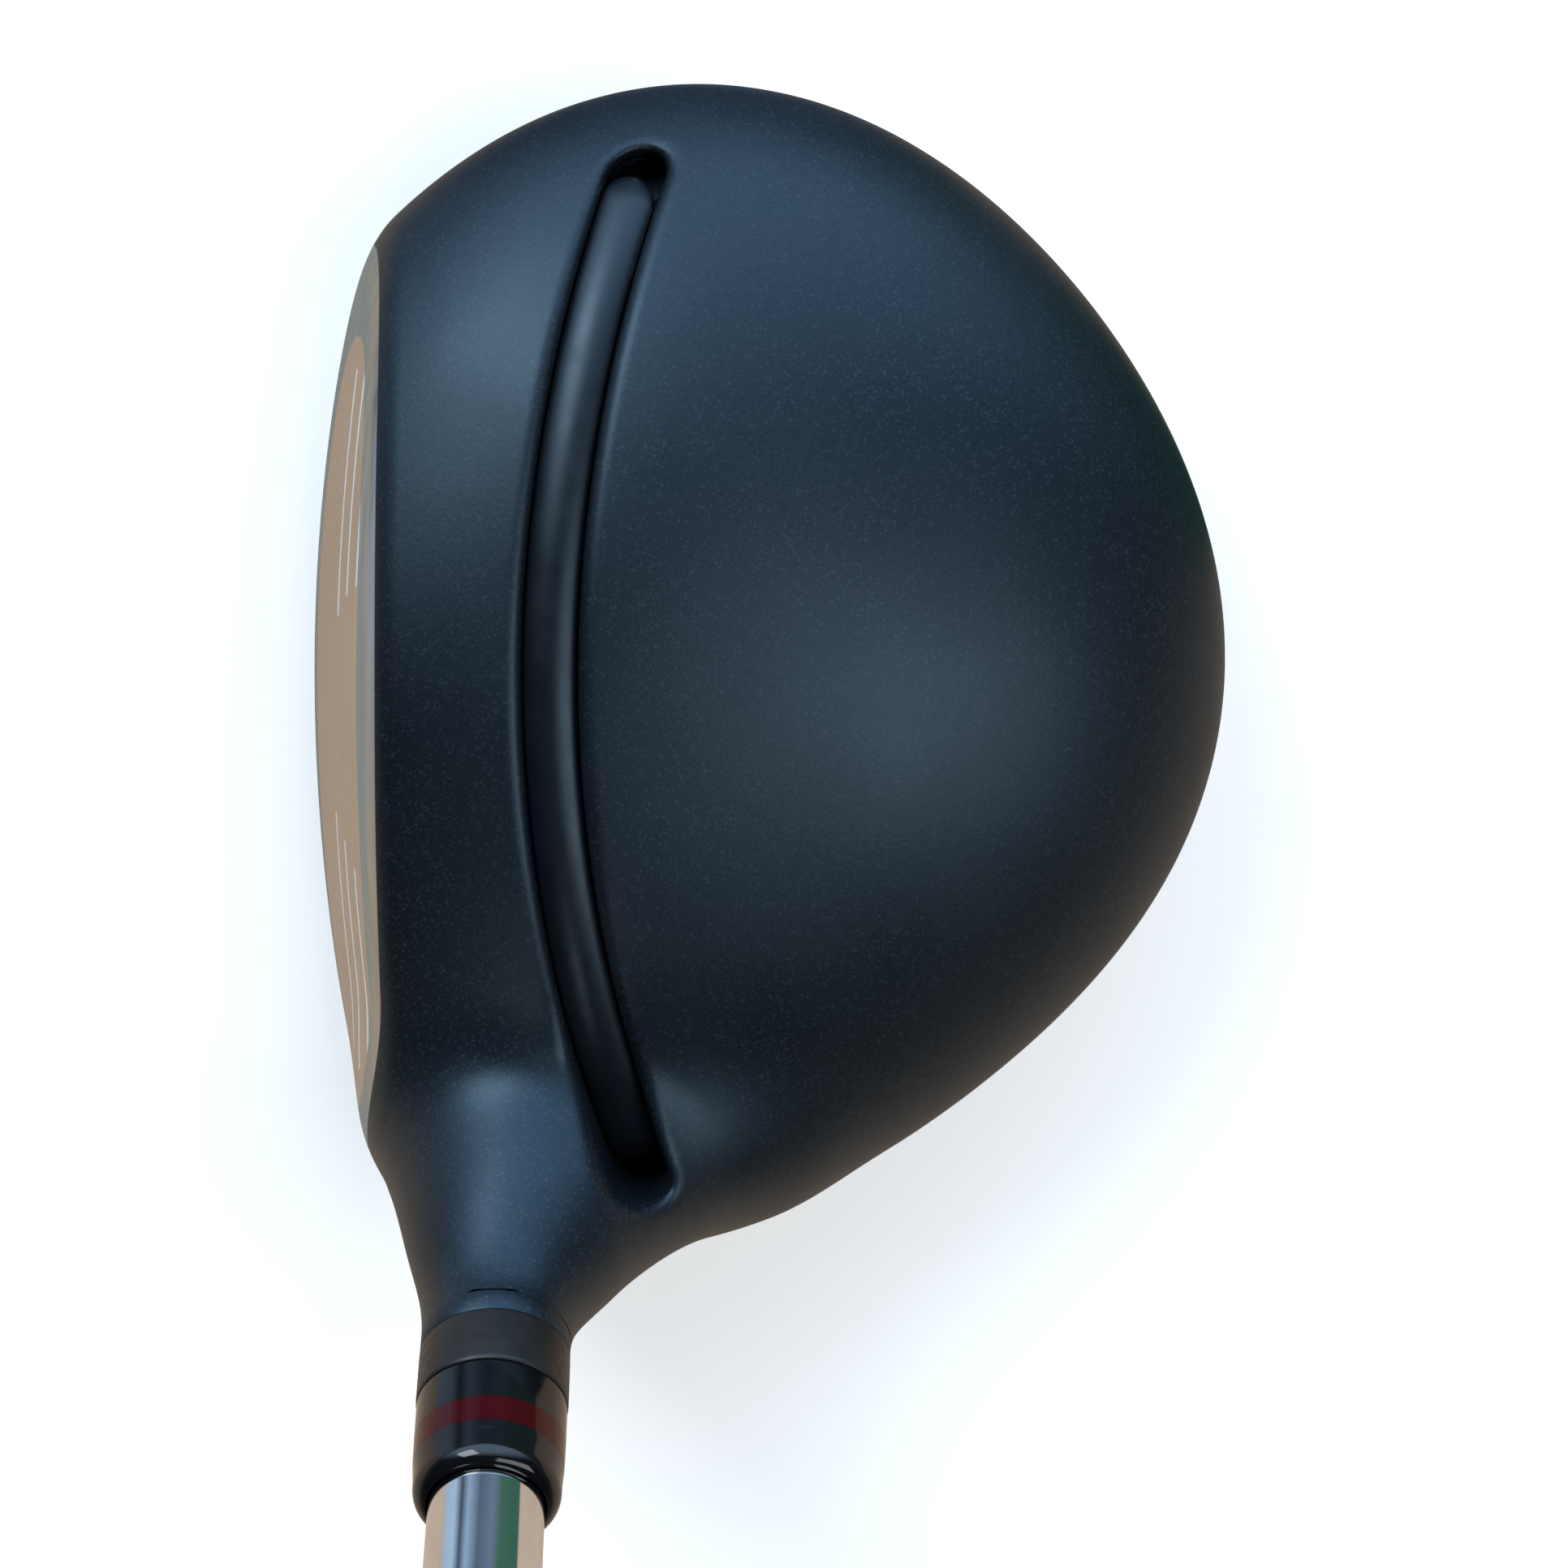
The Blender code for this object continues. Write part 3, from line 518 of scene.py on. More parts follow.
def grooved_skin(x, y, z):
    """The head's outside with the scorelines pressed into the face."""
    depth = SCORELINE_DEPTH * np.clip(scoreline_side(y, z) / 0.3, 0.0, 1.0)
    return head_skin(x, y, z) + depth


# ---------------------------------------------------------------- surfaces from fields

def surface_net(field, low, high, step):
    """Points and triangles of the surface where `field` is zero: one point in each cell that it crosses."""
    axes = [np.arange(start, stop + step, step) for start, stop in zip(low, high)]
    x, y, z = axes[0][:, None, None], axes[1][None, :, None], axes[2][None, None, :]
    values = np.concatenate([field(part, y, z) for part in np.array_split(x, 12)]).astype(np.float32)
    solid = values < 0.0
    shape = np.array(values.shape) - 1
    total = np.zeros((*shape, 3), np.float32)
    count = np.zeros(shape, np.int16)
    crossings = []
    for axis in range(3):
        head = [slice(None)] * 3
        tail = [slice(None)] * 3
        head[axis], tail[axis] = slice(None, -1), slice(1, None)
        crossed = np.argwhere(solid[tuple(head)] != solid[tuple(tail)])
        after = crossed.copy()
        after[:, axis] += 1
        first, second = values[tuple(crossed.T)], values[tuple(after.T)]
        place = crossed.astype(np.float32)
        place[:, axis] += first / (first - second)
        crossings.append((axis, crossed, first < 0.0))
        others = [index for index in range(3) if index != axis]
        for one in (0, 1):
            for two in (0, 1):
                cell = crossed.copy()
                cell[:, others[0]] -= one
                cell[:, others[1]] -= two
                fits = ((cell >= 0) & (cell < shape)).all(axis=1)
                np.add.at(total, tuple(cell[fits].T), place[fits])
                np.add.at(count, tuple(cell[fits].T), 1)
    number = np.full(shape, -1, np.int64)
    used = np.argwhere(count > 0)
    number[tuple(used.T)] = np.arange(len(used))
    points = total[tuple(used.T)] / count[tuple(used.T)][:, None] * step + np.array(low, np.float32)
    quads = []
    for axis, crossed, outward in crossings:
        others = [index for index in range(3) if index != axis]
        corners = []
        for one, two in ((0, 0), (1, 0), (1, 1), (0, 1)):
            cell = crossed.copy()
            cell[:, others[0]] -= one
            cell[:, others[1]] -= two
            corners.append(number[tuple(np.clip(cell, 0, shape - 1).T)])
        quad = np.stack(corners, axis=1)
        turn = outward if axis != 1 else ~outward
        quads.append(np.where(turn[:, None], quad, quad[:, ::-1]))
    quads = np.concatenate(quads)
    faces = np.concatenate([quads[:, (0, 1, 2)], quads[:, (0, 2, 3)]])
    return points.astype(float), faces


def gradient(field, points, reach=0.04):
    slopes = []
    for axis in range(3):
        shift = np.zeros(3)
        shift[axis] = reach
        ahead, behind = (points + shift).T, (points - shift).T
        slopes.append((field(*ahead) - field(*behind)) / (2.0 * reach))
    return np.stack(slopes, axis=1)


def settle(field, points, rounds=3, most=0.3):
    """Moves points onto the surface, and gives the directions square to it there."""
    for _ in range(rounds):
        slope = gradient(field, points)
        move = field(*points.T)[:, None] * slope / np.maximum((slope**2).sum(axis=1), 1e-3)[:, None]
        points = points - np.clip(move, -most, most)
    slope = gradient(field, points)
    return points, slope / np.maximum(np.linalg.norm(slope, axis=1), 1e-6)[:, None]


def cut_apart(points, faces, value):
    """Splits triangles where `value` crosses zero. Gives all points, and the faces on each side."""
    below = value[faces] < 0.0
    mixed = below.any(axis=1) & ~below.all(axis=1)
    kept = [faces[below.all(axis=1)], faces[~below.any(axis=1)]]
    cross, sides = faces[mixed], below[mixed]
    lone_is_below = sides.sum(axis=1) == 1
    lone = np.where(lone_is_below, sides.argmax(axis=1), (~sides).argmax(axis=1))
    rows = np.arange(len(cross))
    first, second, third = (cross[rows, (lone + shift) % 3] for shift in range(3))
    ends = np.concatenate([np.stack([first, second], axis=1), np.stack([first, third], axis=1)])
    edges, index = np.unique(np.sort(ends, axis=1), axis=0, return_inverse=True)
    index = index.reshape(-1)
    start, end = value[edges[:, 0]], value[edges[:, 1]]
    share = (start / (start - end))[:, None]
    added = points[edges[:, 0]] * (1.0 - share) + points[edges[:, 1]] * share
    near, far = len(points) + index[:len(cross)], len(points) + index[len(cross):]
    tips = np.stack([first, near, far], axis=1)
    rest = np.concatenate([np.stack([near, second, third], axis=1), np.stack([near, third, far], axis=1)])
    twice = np.tile(lone_is_below, 2)
    low = np.concatenate([kept[0], tips[lone_is_below], rest[~twice]])
    high = np.concatenate([kept[1], tips[~lone_is_below], rest[twice]])
    return np.concatenate([points, added]), low, high


def compact(points, faces):
    used, index = np.unique(faces, return_inverse=True)
    return points[used], index.reshape(faces.shape)


def halve(points, faces):
    """Each triangle becomes four."""
    ends = np.sort(np.concatenate([faces[:, (0, 1)], faces[:, (1, 2)], faces[:, (2, 0)]]), axis=1)
    edges, index = np.unique(ends, axis=0, return_inverse=True)
    middle = len(points) + index.reshape(3, -1)
    points = np.concatenate([points, points[edges].mean(axis=1)])
    a, b, c = faces.T
    ab, bc, ca = middle
    parts = [(a, ab, ca), (ab, b, bc), (ca, bc, c), (ab, bc, ca)]
    return points, np.concatenate([np.stack(part, axis=1) for part in parts])


# ---------------------------------------------------------------- mesh objects

def scene_object(name, mesh, look):
    made = bpy.data.objects.new(name, mesh)
    bpy.context.scene.collection.objects.link(made)
    mesh.materials.append(look)
    return made


def shell_object(name, points, faces, normals, wall, look, **attributes):
    """A wall of the given thickness behind a surface, closed round its rim, in millimetres."""
    count = len(points)
    ends = np.concatenate([faces[:, (0, 1)], faces[:, (1, 2)], faces[:, (2, 0)]])
    _, index, times = np.unique(np.sort(ends, axis=1), axis=0, return_inverse=True, return_counts=True)
    rim = ends[times[index.reshape(-1)] == 1]
    walls = np.concatenate([
        np.stack([rim[:, 1], rim[:, 0], rim[:, 0] + count], axis=1),
        np.stack([rim[:, 1], rim[:, 0] + count, rim[:, 1] + count], axis=1)])
    every = np.concatenate([faces, faces[:, ::-1] + count, walls])
    places = np.concatenate([points, points - normals * np.reshape(wall, (-1, 1))]) * MM
    mesh = bpy.data.meshes.new(name)
    mesh.vertices.add(len(places))
    mesh.vertices.foreach_set("co", places.astype(np.float32).ravel())
    mesh.loops.add(every.size)
    mesh.loops.foreach_set("vertex_index", every.astype(np.int32).ravel())
    mesh.polygons.add(len(every))
    mesh.polygons.foreach_set("loop_start", np.arange(0, every.size, 3, dtype=np.int32))
    mesh.update(calc_edges=True)
    mesh.shade_smooth()
    for key, values in attributes.items():
        layer = mesh.attributes.new(key, "FLOAT", "POINT")
        layer.data.foreach_set("value", np.tile(values, 2).astype(np.float32))
    loops = np.zeros((len(every), 3, 3), np.float32)
    loops[:len(faces)] = normals[faces]
    loops[len(faces):2 * len(faces)] = -normals[faces[:, ::-1]]
    mesh.normals_split_custom_set(loops.reshape(-1, 3).tolist())
    return scene_object(name, mesh, look)


def axis_matrix(origin, direction):
    """Places a piece built about +Z on an axis of the club."""
    turn = Vector((0.0, 0.0, 1.0)).rotation_difference(Vector(direction)).to_matrix().to_4x4()
    return Matrix.Translation(Vector(origin) * MM) @ turn


SHAFT_PLACE = axis_matrix(HOSEL_TOP, UP_SHAFT)


def ring_object(name, rings, look, closed, place=SHAFT_PLACE, sharp_deg=40.0):
    """A skin over rings of (radius, angle, height) points. Closed skins join the last ring to the first."""
    count = len(rings[0])
    points = np.concatenate([
        np.stack([ring[:, 0] * np.cos(ring[:, 1]), ring[:, 0] * np.sin(ring[:, 1]), ring[:, 2]], axis=1)
        for ring in rings])
    rows = len(rings) if closed else len(rings) - 1
    row, side = (grid.ravel() for grid in np.meshgrid(np.arange(rows), np.arange(count), indexing="ij"))
    low, high = row * count, ((row + 1) % len(rings)) * count
    after = (side + 1) % count
    faces = np.stack([low + side, low + after, high + after, high + side], axis=1).tolist()
    if not closed:
        faces.append(list(range(count))[::-1])
        faces.append([(len(rings) - 1) * count + index for index in range(count)])
    mesh = bpy.data.meshes.new(name)
    mesh.from_pydata((points * MM).tolist(), [], faces)
    mesh.transform(place)
    if not outward(mesh):
        mesh.flip_normals()
    mesh.shade_smooth()
    mesh.set_sharp_from_angle(angle=math.radians(sharp_deg))
    return scene_object(name, mesh, look)


def outward(mesh):
    """Whether the faces of a closed mesh point out, from its signed volume."""
    mesh.calc_loop_triangles()
    places = np.empty(len(mesh.vertices) * 3)
    mesh.vertices.foreach_get("co", places)
    corners = np.empty(len(mesh.loop_triangles) * 3, np.int32)
    mesh.loop_triangles.foreach_get("vertices", corners)
    return np.linalg.det(places.reshape(-1, 3)[corners].reshape(-1, 3, 3)).sum() > 0.0


def ring(radius, height, segments=LATHE_SEGMENTS):
    angle = np.arange(segments) * math.tau / segments
    return np.stack([np.broadcast_to(radius, segments), angle, np.full(segments, height)], axis=1)


def lathe(name, profile, look, closed=True, place=SHAFT_PLACE, segments=LATHE_SEGMENTS):
    rings = [ring(radius, height, segments) for radius, height in profile]
    return ring_object(name, rings, look, closed, place)


def lobed(radius, depth):
    return radius + depth * np.cos(6.0 * np.arange(LATHE_SEGMENTS) * math.tau / LATHE_SEGMENTS)


def thread(outer, depth, pitch, start, end):
    """Rings of a threaded stretch: the groove climbs one pitch for each turn."""
    angle = np.arange(LATHE_SEGMENTS) / LATHE_SEGMENTS
    rings = []
    for height in np.linspace(start, end, int(abs(end - start) / pitch * 8) + 1):
        phase = np.mod(height / pitch - angle, 1.0)
        cut = depth * (1.0 - np.abs(2.0 * phase - 1.0))
        rings.append(ring(outer - cut, height))
    return rings


# ---------------------------------------------------------------- head pieces

def crown_side(points):
    """Negative on the crown piece, and zero along its edge."""
    x, y, z = points.T
    angle = np.arctan2(y, x)
    rim = np.hypot(x, y) - CROWN_EDGE_SHARE * outline_radius(angle)
    below = skirt_height(angle) - z
    front = -CROWN_FRONT - x
    hosel = HOSEL_ROOT_RADIUS - np.hypot(x - HOSEL_ROOT[0], y - HOSEL_ROOT[1])
    return np.maximum(np.maximum(rim, below), np.maximum(front, hosel))


def face_side(points):
    """Negative on the face insert, and zero along its outline."""
    x, y, z = points.T
    across = np.abs((y - FACE_MID_Y) / FACE_PLATE_HALF[0])
    up = np.abs((z - FACE_MID_Z) / FACE_PLATE_HALF[1])
    outline = (across**FACE_OUTLINE_POWER + up**FACE_OUTLINE_POWER) ** (1.0 / FACE_OUTLINE_POWER) - 1.0
    return np.maximum(outline * FACE_PLATE_HALF[1], x + 12.0)


def steel_side(points):
    """How far a point is on the face's side of the rounded edge, where the paint stops."""
    x, y, z = points.T
    height, _ = along_shaft(x, y, z)
    return np.minimum(in_front_of_face(x, y, z) - form(x, y, z), -(height + 11.0))


def build_head(paint, steel):
    low, high = (-31.0, -62.0, -1.5), (56.0, 56.0, 46.5)
    points, faces = surface_net(head_skin, low, high, HEAD_STEP)
    points, _ = settle(head_skin, points)
    height, _ = along_shaft(*points.T)
    points, faces, _ = cut_apart(points, faces, height + HOSEL_RIM)
    points, crown_faces, other = cut_apart(points, faces, crown_side(points))
    points, face_faces, body_faces = cut_apart(points, other, face_side(points))

    crown_points, crown_faces = compact(points, crown_faces)
    crown_points, normals = settle(head_skin, crown_points, rounds=0)
    crown = shell_object("crown_shell", crown_points, crown_faces, normals, CROWN_WALL, paint,
                         steel_mm=steel_side(crown_points))

    body_points, body_faces = compact(points, body_faces)
    body_points, normals = settle(head_skin, body_points, rounds=0)
    height, away = along_shaft(*body_points.T)
    near_bore = np.minimum(away - 9.0, weight_port(*body_points.T) - 1.5)
    wall = BORE_WALL + (BODY_WALL - BORE_WALL) * np.clip(near_bore / 4.0, 0.0, 1.0)
    body = shell_object("body_shell", body_points, body_faces, normals, wall, paint,
                        steel_mm=steel_side(body_points))

    face_points, face_faces = compact(points, face_faces)
    face_points, face_faces = halve(face_points, face_faces)
    face_points, normals = settle(grooved_skin, face_points, rounds=1)
    face = shell_object("face_insert", face_points, face_faces, normals, FACE_WALL, steel,
                        scoreline_mm=scoreline_side(face_points[:, 1], face_points[:, 2]))
    rim_profile = [(BORE_RADIUS, -HOSEL_RIM), (HOSEL_RADIUS, -HOSEL_RIM), (HOSEL_RADIUS, -0.16),
                   (HOSEL_RADIUS - 0.08, -0.04), (BORE_RADIUS + 0.15, -0.04), (BORE_RADIUS, -0.2)]
    rim = lathe("hosel_rim", rim_profile, paint)
    for piece, node, slot in ((crown, "crown_plate", "crown_paint"), (body, "head_body", "body_paint"),
                              (rim, "head_body", "body_paint"), (face, "face_plate", "face_steel")):
        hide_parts(node)
        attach(piece, "head")


def build_bar(look):
    """The bar in the crown slot: crowned across, with round ends a little short of the slot's ends."""
    half = SLOT_HALF_WIDTH - BAR_GAP
    length = SLOT_HALF_LENGTH - BAR_POCKET
    sweep = np.sin(np.linspace(-0.5, 0.5, 160) * math.pi) * (length - 0.01)
    past = np.clip((np.abs(sweep) - (length - half)) / half, 0.0, 1.0)
    widths = half * np.sqrt(1.0 - past**2)
    y = SLOT_MID_Y + sweep
    slope = 2.0 * SLOT_CURVE * sweep
    normal = np.stack([np.ones_like(y), -slope], axis=1) / np.hypot(1.0, slope)[:, None]
    centre = np.stack([slot_centre(y), y], axis=1)
    end_drop = 0.9 * past**2
    section = []
    for across in np.linspace(-1.0, 1.0, 17):
        crowned = BAR_CAMBER * (1.0 - across**2) - 0.25 * across**8
        section.append((across, crowned, True))
    section += [(1.0, 0.0, False), (0.0, 0.0, False), (-1.0, 0.0, False)]
    rows = []
    for across, lift, on_top in section:
        plan = centre + across * widths[:, None] * normal
        drop = BAR_RECESS + end_drop - lift if on_top else np.full(len(y), BAR_BOTTOM)
        rows.append(np.column_stack([plan, crown_at(*plan.T) - drop]))
    points = np.stack(rows, axis=1).reshape(-1, 3) * MM
    sides = len(section)
    faces = []
    for station in range(len(y) - 1):
        for side in range(sides):
            after = (side + 1) % sides
            low, high = station * sides, (station + 1) * sides
            faces.append((low + side, low + after, high + after, high + side))
    faces.append(tuple(range(sides))[::-1])
    faces.append(tuple((len(y) - 1) * sides + side for side in range(sides)))
    mesh = bpy.data.meshes.new("slot_bar")
    mesh.from_pydata(points.tolist(), [], faces)
    if not outward(mesh):
        mesh.flip_normals()
    mesh.shade_smooth()
    mesh.set_sharp_from_angle(angle=math.radians(50.0))
    bar = scene_object("slot_bar", mesh, look)
    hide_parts("crown_slot_bar")
    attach(bar, "head")


def build_weight(look):
    place = axis_matrix(*weight_frame())
    top = 9.4
    rings = [ring(WEIGHT_THREAD_RADIUS - 0.5, top)]
    rings += thread(WEIGHT_THREAD_RADIUS, 0.35, WEIGHT_PITCH, top - 0.3, 4.7)
    for radius, depth in ((WEIGHT_THREAD_RADIUS - 0.4, 4.3), (WEIGHT_THREAD_RADIUS - 0.2, 4.2),
                          (WEIGHT_HEAD_RADIUS - 0.15, 4.2), (WEIGHT_HEAD_RADIUS, 4.05),
                          (WEIGHT_HEAD_RADIUS, 0.95), (WEIGHT_HEAD_RADIUS - 0.15, 0.6),
                          (WEIGHT_HEAD_RADIUS - 0.5, 0.42), (WEIGHT_HEAD_RADIUS - 1.4, 0.4),
                          (WEIGHT_HEAD_RADIUS - 1.6, 0.6), (WEIGHT_HEAD_RADIUS - 1.9, 0.6),
                          (WEIGHT_HEAD_RADIUS - 2.1, 0.4), (lobed(2.45, 0.38), 0.4), (lobed(2.3, 0.35), 0.55),
                          (lobed(2.3, 0.35), 3.2), (lobed(2.1, 0.3), 3.4)):
        rings.append(ring(radius, depth))
    weight = ring_object("sole_weight_slug", rings, look, False, place)
    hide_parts("sole_weight")
    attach(weight, "weight")


def build_screw(look):
    rings = [ring(SCREW_RADIUS - 0.45, SCREW_TIP)]
    rings += thread(SCREW_RADIUS, 0.33, SCREW_PITCH, SCREW_TIP - 0.3, SCREW_HEAD_TOP + 5.0)
    socket_edge, socket = lobed(2.25, 0.33), lobed(2.1, 0.3)
    outline = (
        (SCREW_RADIUS - 0.1, SCREW_HEAD_TOP + 4.8), (SCREW_RADIUS - 0.1, SCREW_HEAD_TOP + 0.3),
        (SCREW_RADIUS + 0.1, SCREW_HEAD_TOP), (SCREW_HEAD_RADIUS - 0.15, SCREW_HEAD_TOP),
        (SCREW_HEAD_RADIUS, SCREW_HEAD_TOP - 0.15), (SCREW_HEAD_RADIUS, SCREW_HEAD_BOTTOM + 0.5),
        (SCREW_HEAD_RADIUS - 0.2, SCREW_HEAD_BOTTOM + 0.15), (SCREW_HEAD_RADIUS - 0.5, SCREW_HEAD_BOTTOM),
        (socket_edge, SCREW_HEAD_BOTTOM), (socket, SCREW_HEAD_BOTTOM + 0.15),
        (socket, SCREW_HEAD_BOTTOM + 2.8), (lobed(1.9, 0.25), SCREW_HEAD_BOTTOM + 3.0),
    )
    for radius, height in outline:
        rings.append(ring(radius, height))
    screw = ring_object("hosel_bolt", rings, look, False)
    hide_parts("hosel_screw")
    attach(screw, "screw")


# ---------------------------------------------------------------- shaft pieces

def splined(tip, root):
    """Radii of a splined ring, its teeth with sloping flanks."""
    angle = np.arange(LATHE_SEGMENTS) * SPLINE_TEETH / LATHE_SEGMENTS
    wave = np.clip(0.5 + 1.1 * np.cos(math.tau * angle), 0.0, 1.0)
    return root + (tip - root) * wave


def build_sleeve(look):
    teeth = splined(SLEEVE_RADIUS, SPLINE_ROOT_RADIUS)
    profile = [
        (SCREW_TAP_RADIUS + 0.3, SLEEVE_BOTTOM), (teeth - 0.35, SLEEVE_BOTTOM), (teeth, SLEEVE_BOTTOM + 0.35),
        (teeth, SPLINE_TOP - 0.6), (SLEEVE_RADIUS, SPLINE_TOP), (SLEEVE_RADIUS, -0.35),
        (SLEEVE_RADIUS + 0.15, 0.0), (HOSEL_RADIUS - 0.10, 0.02), (HOSEL_RADIUS, 0.10),
        (HOSEL_RADIUS + 0.02, 0.35), (HOSEL_RADIUS + 0.02, COLLAR_TOP - 0.4),
        (HOSEL_RADIUS - 0.01, COLLAR_TOP - 0.10), (HOSEL_RADIUS - 0.10, COLLAR_TOP),
        (SLEEVE_BORE + 0.35, COLLAR_TOP), (SLEEVE_BORE + 0.15, COLLAR_TOP - 0.2),
        (SLEEVE_BORE, SHAFT_TIP - 0.5), (SCREW_TAP_RADIUS, SHAFT_TIP - 0.5),
        (SCREW_TAP_RADIUS, SLEEVE_BOTTOM + 0.3),
    ]
    return lathe("sleeve_collar", profile, look)


def build_ferrule(black, red):
    bore = SHAFT_RADIUS + 0.1
    bottom, middle, top = COLLAR_TOP + 0.1, RING_BOTTOM, RING_TOP
    lower = [(bore, bottom), (6.0, bottom), (6.12, bottom + 0.12), (6.14, bottom + 0.4),
             (6.12, middle - 0.01), (bore, middle - 0.01)]
    ring_band = [(bore, middle), (6.115, middle), (6.10, 0.5 * (middle + top)), (6.07, top), (bore, top)]
    upper = [(bore, top + 0.01), (6.06, top + 0.01), (6.02, top + 0.8), (5.95, top + 1.6)]
    shoulder_height, shoulder = 1.5, 1.05
    for turn in np.radians(np.linspace(0.0, 90.0, 10)):
        upper.append((5.95 - shoulder * (1.0 - math.cos(turn)),
                      FERRULE_TOP - shoulder_height + shoulder_height * math.sin(turn)))
    upper += [(bore + 0.1, FERRULE_TOP), (bore, FERRULE_TOP - 0.15)]
    pieces = [
        (lathe("ferrule_base", lower, black), "ferrule_lower", "ferrule_black"),
        (lathe("ferrule_band", ring_band, red), "ferrule_ring", "ferrule_red"),
        (lathe("ferrule_nose", upper, black), "ferrule_upper", "ferrule_black"),
    ]
    return pieces


def build_shaft(look):
    outside = [(TIP_RADIUS - 0.3, SHAFT_TIP), (TIP_RADIUS, SHAFT_TIP + 0.4), (TIP_RADIUS, COLLAR_TOP),
               (SHAFT_RADIUS, COLLAR_TOP + 4.0)]
    rise = (BUTT_RADIUS - SHAFT_RADIUS) / STEP_COUNT
    for step in range(STEP_COUNT):
        height = FIRST_STEP + step * STEP_SPACING
        for share in (0.0, 0.15, 0.5, 0.85, 1.0):
            eased = share * share * (3.0 - 2.0 * share)
            outside.append((SHAFT_RADIUS + (step + eased) * rise, height - 0.8 + 1.6 * share))
    outside += [(BUTT_RADIUS, SHAFT_BUTT - 0.3), (BUTT_RADIUS - 0.1, SHAFT_BUTT)]
    last_step = FIRST_STEP + STEP_COUNT * STEP_SPACING
    inside = [(BUTT_RADIUS - TUBE_WALL, SHAFT_BUTT), (BUTT_RADIUS - TUBE_WALL, last_step),
              (SHAFT_RADIUS - TUBE_WALL, FIRST_STEP), (TIP_RADIUS - TUBE_WALL, COLLAR_TOP),
              (TIP_RADIUS - TUBE_WALL, SHAFT_TIP)]
    return lathe("stepped_shaft", outside + inside, look)


def grip_relief(angle, height):
    """Depth of the moulded pattern: diagonal cross-hatch panels between plain bands."""
    along = height - GRIP_MOUTH
    pitch = 3.2
    around = angle * 11.0
    first = np.abs(np.mod((along + around) / pitch, 1.0) - 0.5)
    second = np.abs(np.mod((along - around) / pitch, 1.0) - 0.5)
    hatch = np.clip((0.11 - np.minimum(first, second)) / 0.05, 0.0, 1.0)
    band = np.clip((np.abs(np.mod(along / 44.0, 1.0) - 0.5) - 0.06) / 0.01, 0.0, 1.0)
    ends = np.clip((along - 9.0) / 1.5, 0.0, 1.0) * np.clip((SHAFT_BUTT - height - 12.0) / 1.5, 0.0, 1.0)
    return 0.38 * hatch * band * ends


def build_grip(rubber, cap):
    segments = 176
    angle = np.arange(segments) * math.tau / segments
    length = SHAFT_BUTT - GRIP_MOUTH
    rings = []
    for radius, height in ((GRIP_BORE, GRIP_MOUTH), (GRIP_MOUTH_RADIUS - 0.9, GRIP_MOUTH),
                           (GRIP_MOUTH_RADIUS - 0.35, GRIP_MOUTH + 0.25),
                           (GRIP_MOUTH_RADIUS - 0.05, GRIP_MOUTH + 0.8)):
        rings.append(ring(radius, height, segments))
    for height in np.linspace(GRIP_MOUTH + 1.2, SHAFT_BUTT - 0.4, 430):
        share = (height - GRIP_MOUTH) / length
        swell = GRIP_MOUTH_RADIUS + (GRIP_BUTT_RADIUS - GRIP_MOUTH_RADIUS) * share**1.25
        depth = grip_relief(angle, height)
        rings.append(np.stack([swell - depth, angle, np.full(segments, height)], axis=1))
    rings.append(ring(GRIP_BUTT_RADIUS - 0.3, SHAFT_BUTT, segments))
    rings.append(ring(GRIP_BORE, SHAFT_BUTT, segments))
    sleeve = ring_object("rubber_grip", rings, rubber, True, sharp_deg=60.0)
    base = SHAFT_BUTT + CAP_GAP - 0.2
    crest = SHAFT_BUTT + CAP_THICK
    profile = [(VENT_RADIUS, base), (GRIP_BUTT_RADIUS - 0.3, base), (GRIP_BUTT_RADIUS, base + 0.3),
               (GRIP_BUTT_RADIUS, crest - 1.6), (GRIP_BUTT_RADIUS - 0.25, crest - 0.9),
               (GRIP_BUTT_RADIUS - 0.8, crest - 0.35), (GRIP_BUTT_RADIUS - 1.8, crest),
               (GRIP_BUTT_RADIUS - 3.4, crest), (GRIP_BUTT_RADIUS - 3.7, crest - 0.35),
               (GRIP_BUTT_RADIUS - 4.1, crest - 0.35), (GRIP_BUTT_RADIUS - 4.4, crest),
               (VENT_RADIUS + 0.5, crest), (VENT_RADIUS, crest - 0.4)]
    end = lathe("grip_end_cap", profile, cap)
    return [(sleeve, "grip", "grip_rubber"), (end, "grip_cap", "grip_rubber")]


# ---------------------------------------------------------------- stage

def camera():
    """Above the head, square to the ground but for a small lean towards the toe and the face."""
    back = Vector((-math.sin(CAMERA_LEAN_FACE) * math.cos(CAMERA_LEAN_TOE), math.sin(CAMERA_LEAN_TOE),
                   math.cos(CAMERA_LEAN_FACE) * math.cos(CAMERA_LEAN_TOE)))
    right = Vector((0.0, 1.0, 0.0)).cross(back).normalized()
    up = back.cross(right)
    data = bpy.data.cameras.new("camera")
    data.lens = LENS_MM
    data.sensor_width = SENSOR_MM
    data.clip_start = 0.01
    made = bpy.data.objects.new("camera", data)
    turn = Matrix((right, up, back)).transposed().to_4x4()
    made.matrix_world = Matrix.Translation(Vector(HOSEL_TOP + CAMERA_FROM_HOSEL) * MM) @ turn
    bpy.context.scene.collection.objects.link(made)
    bpy.context.scene.camera = made


def area_light(name, place, target, size, power, colour):
    data = bpy.data.lights.new(name, "AREA")
    data.shape = "RECTANGLE"
    data.size, data.size_y = size
    data.energy = power
    data.color = colour
    made = bpy.data.objects.new(name, data)
    made.location = place
    made.rotation_euler = (Vector(target) - Vector(place)).to_track_quat("-Z", "Y").to_euler()
    bpy.context.scene.collection.objects.link(made)


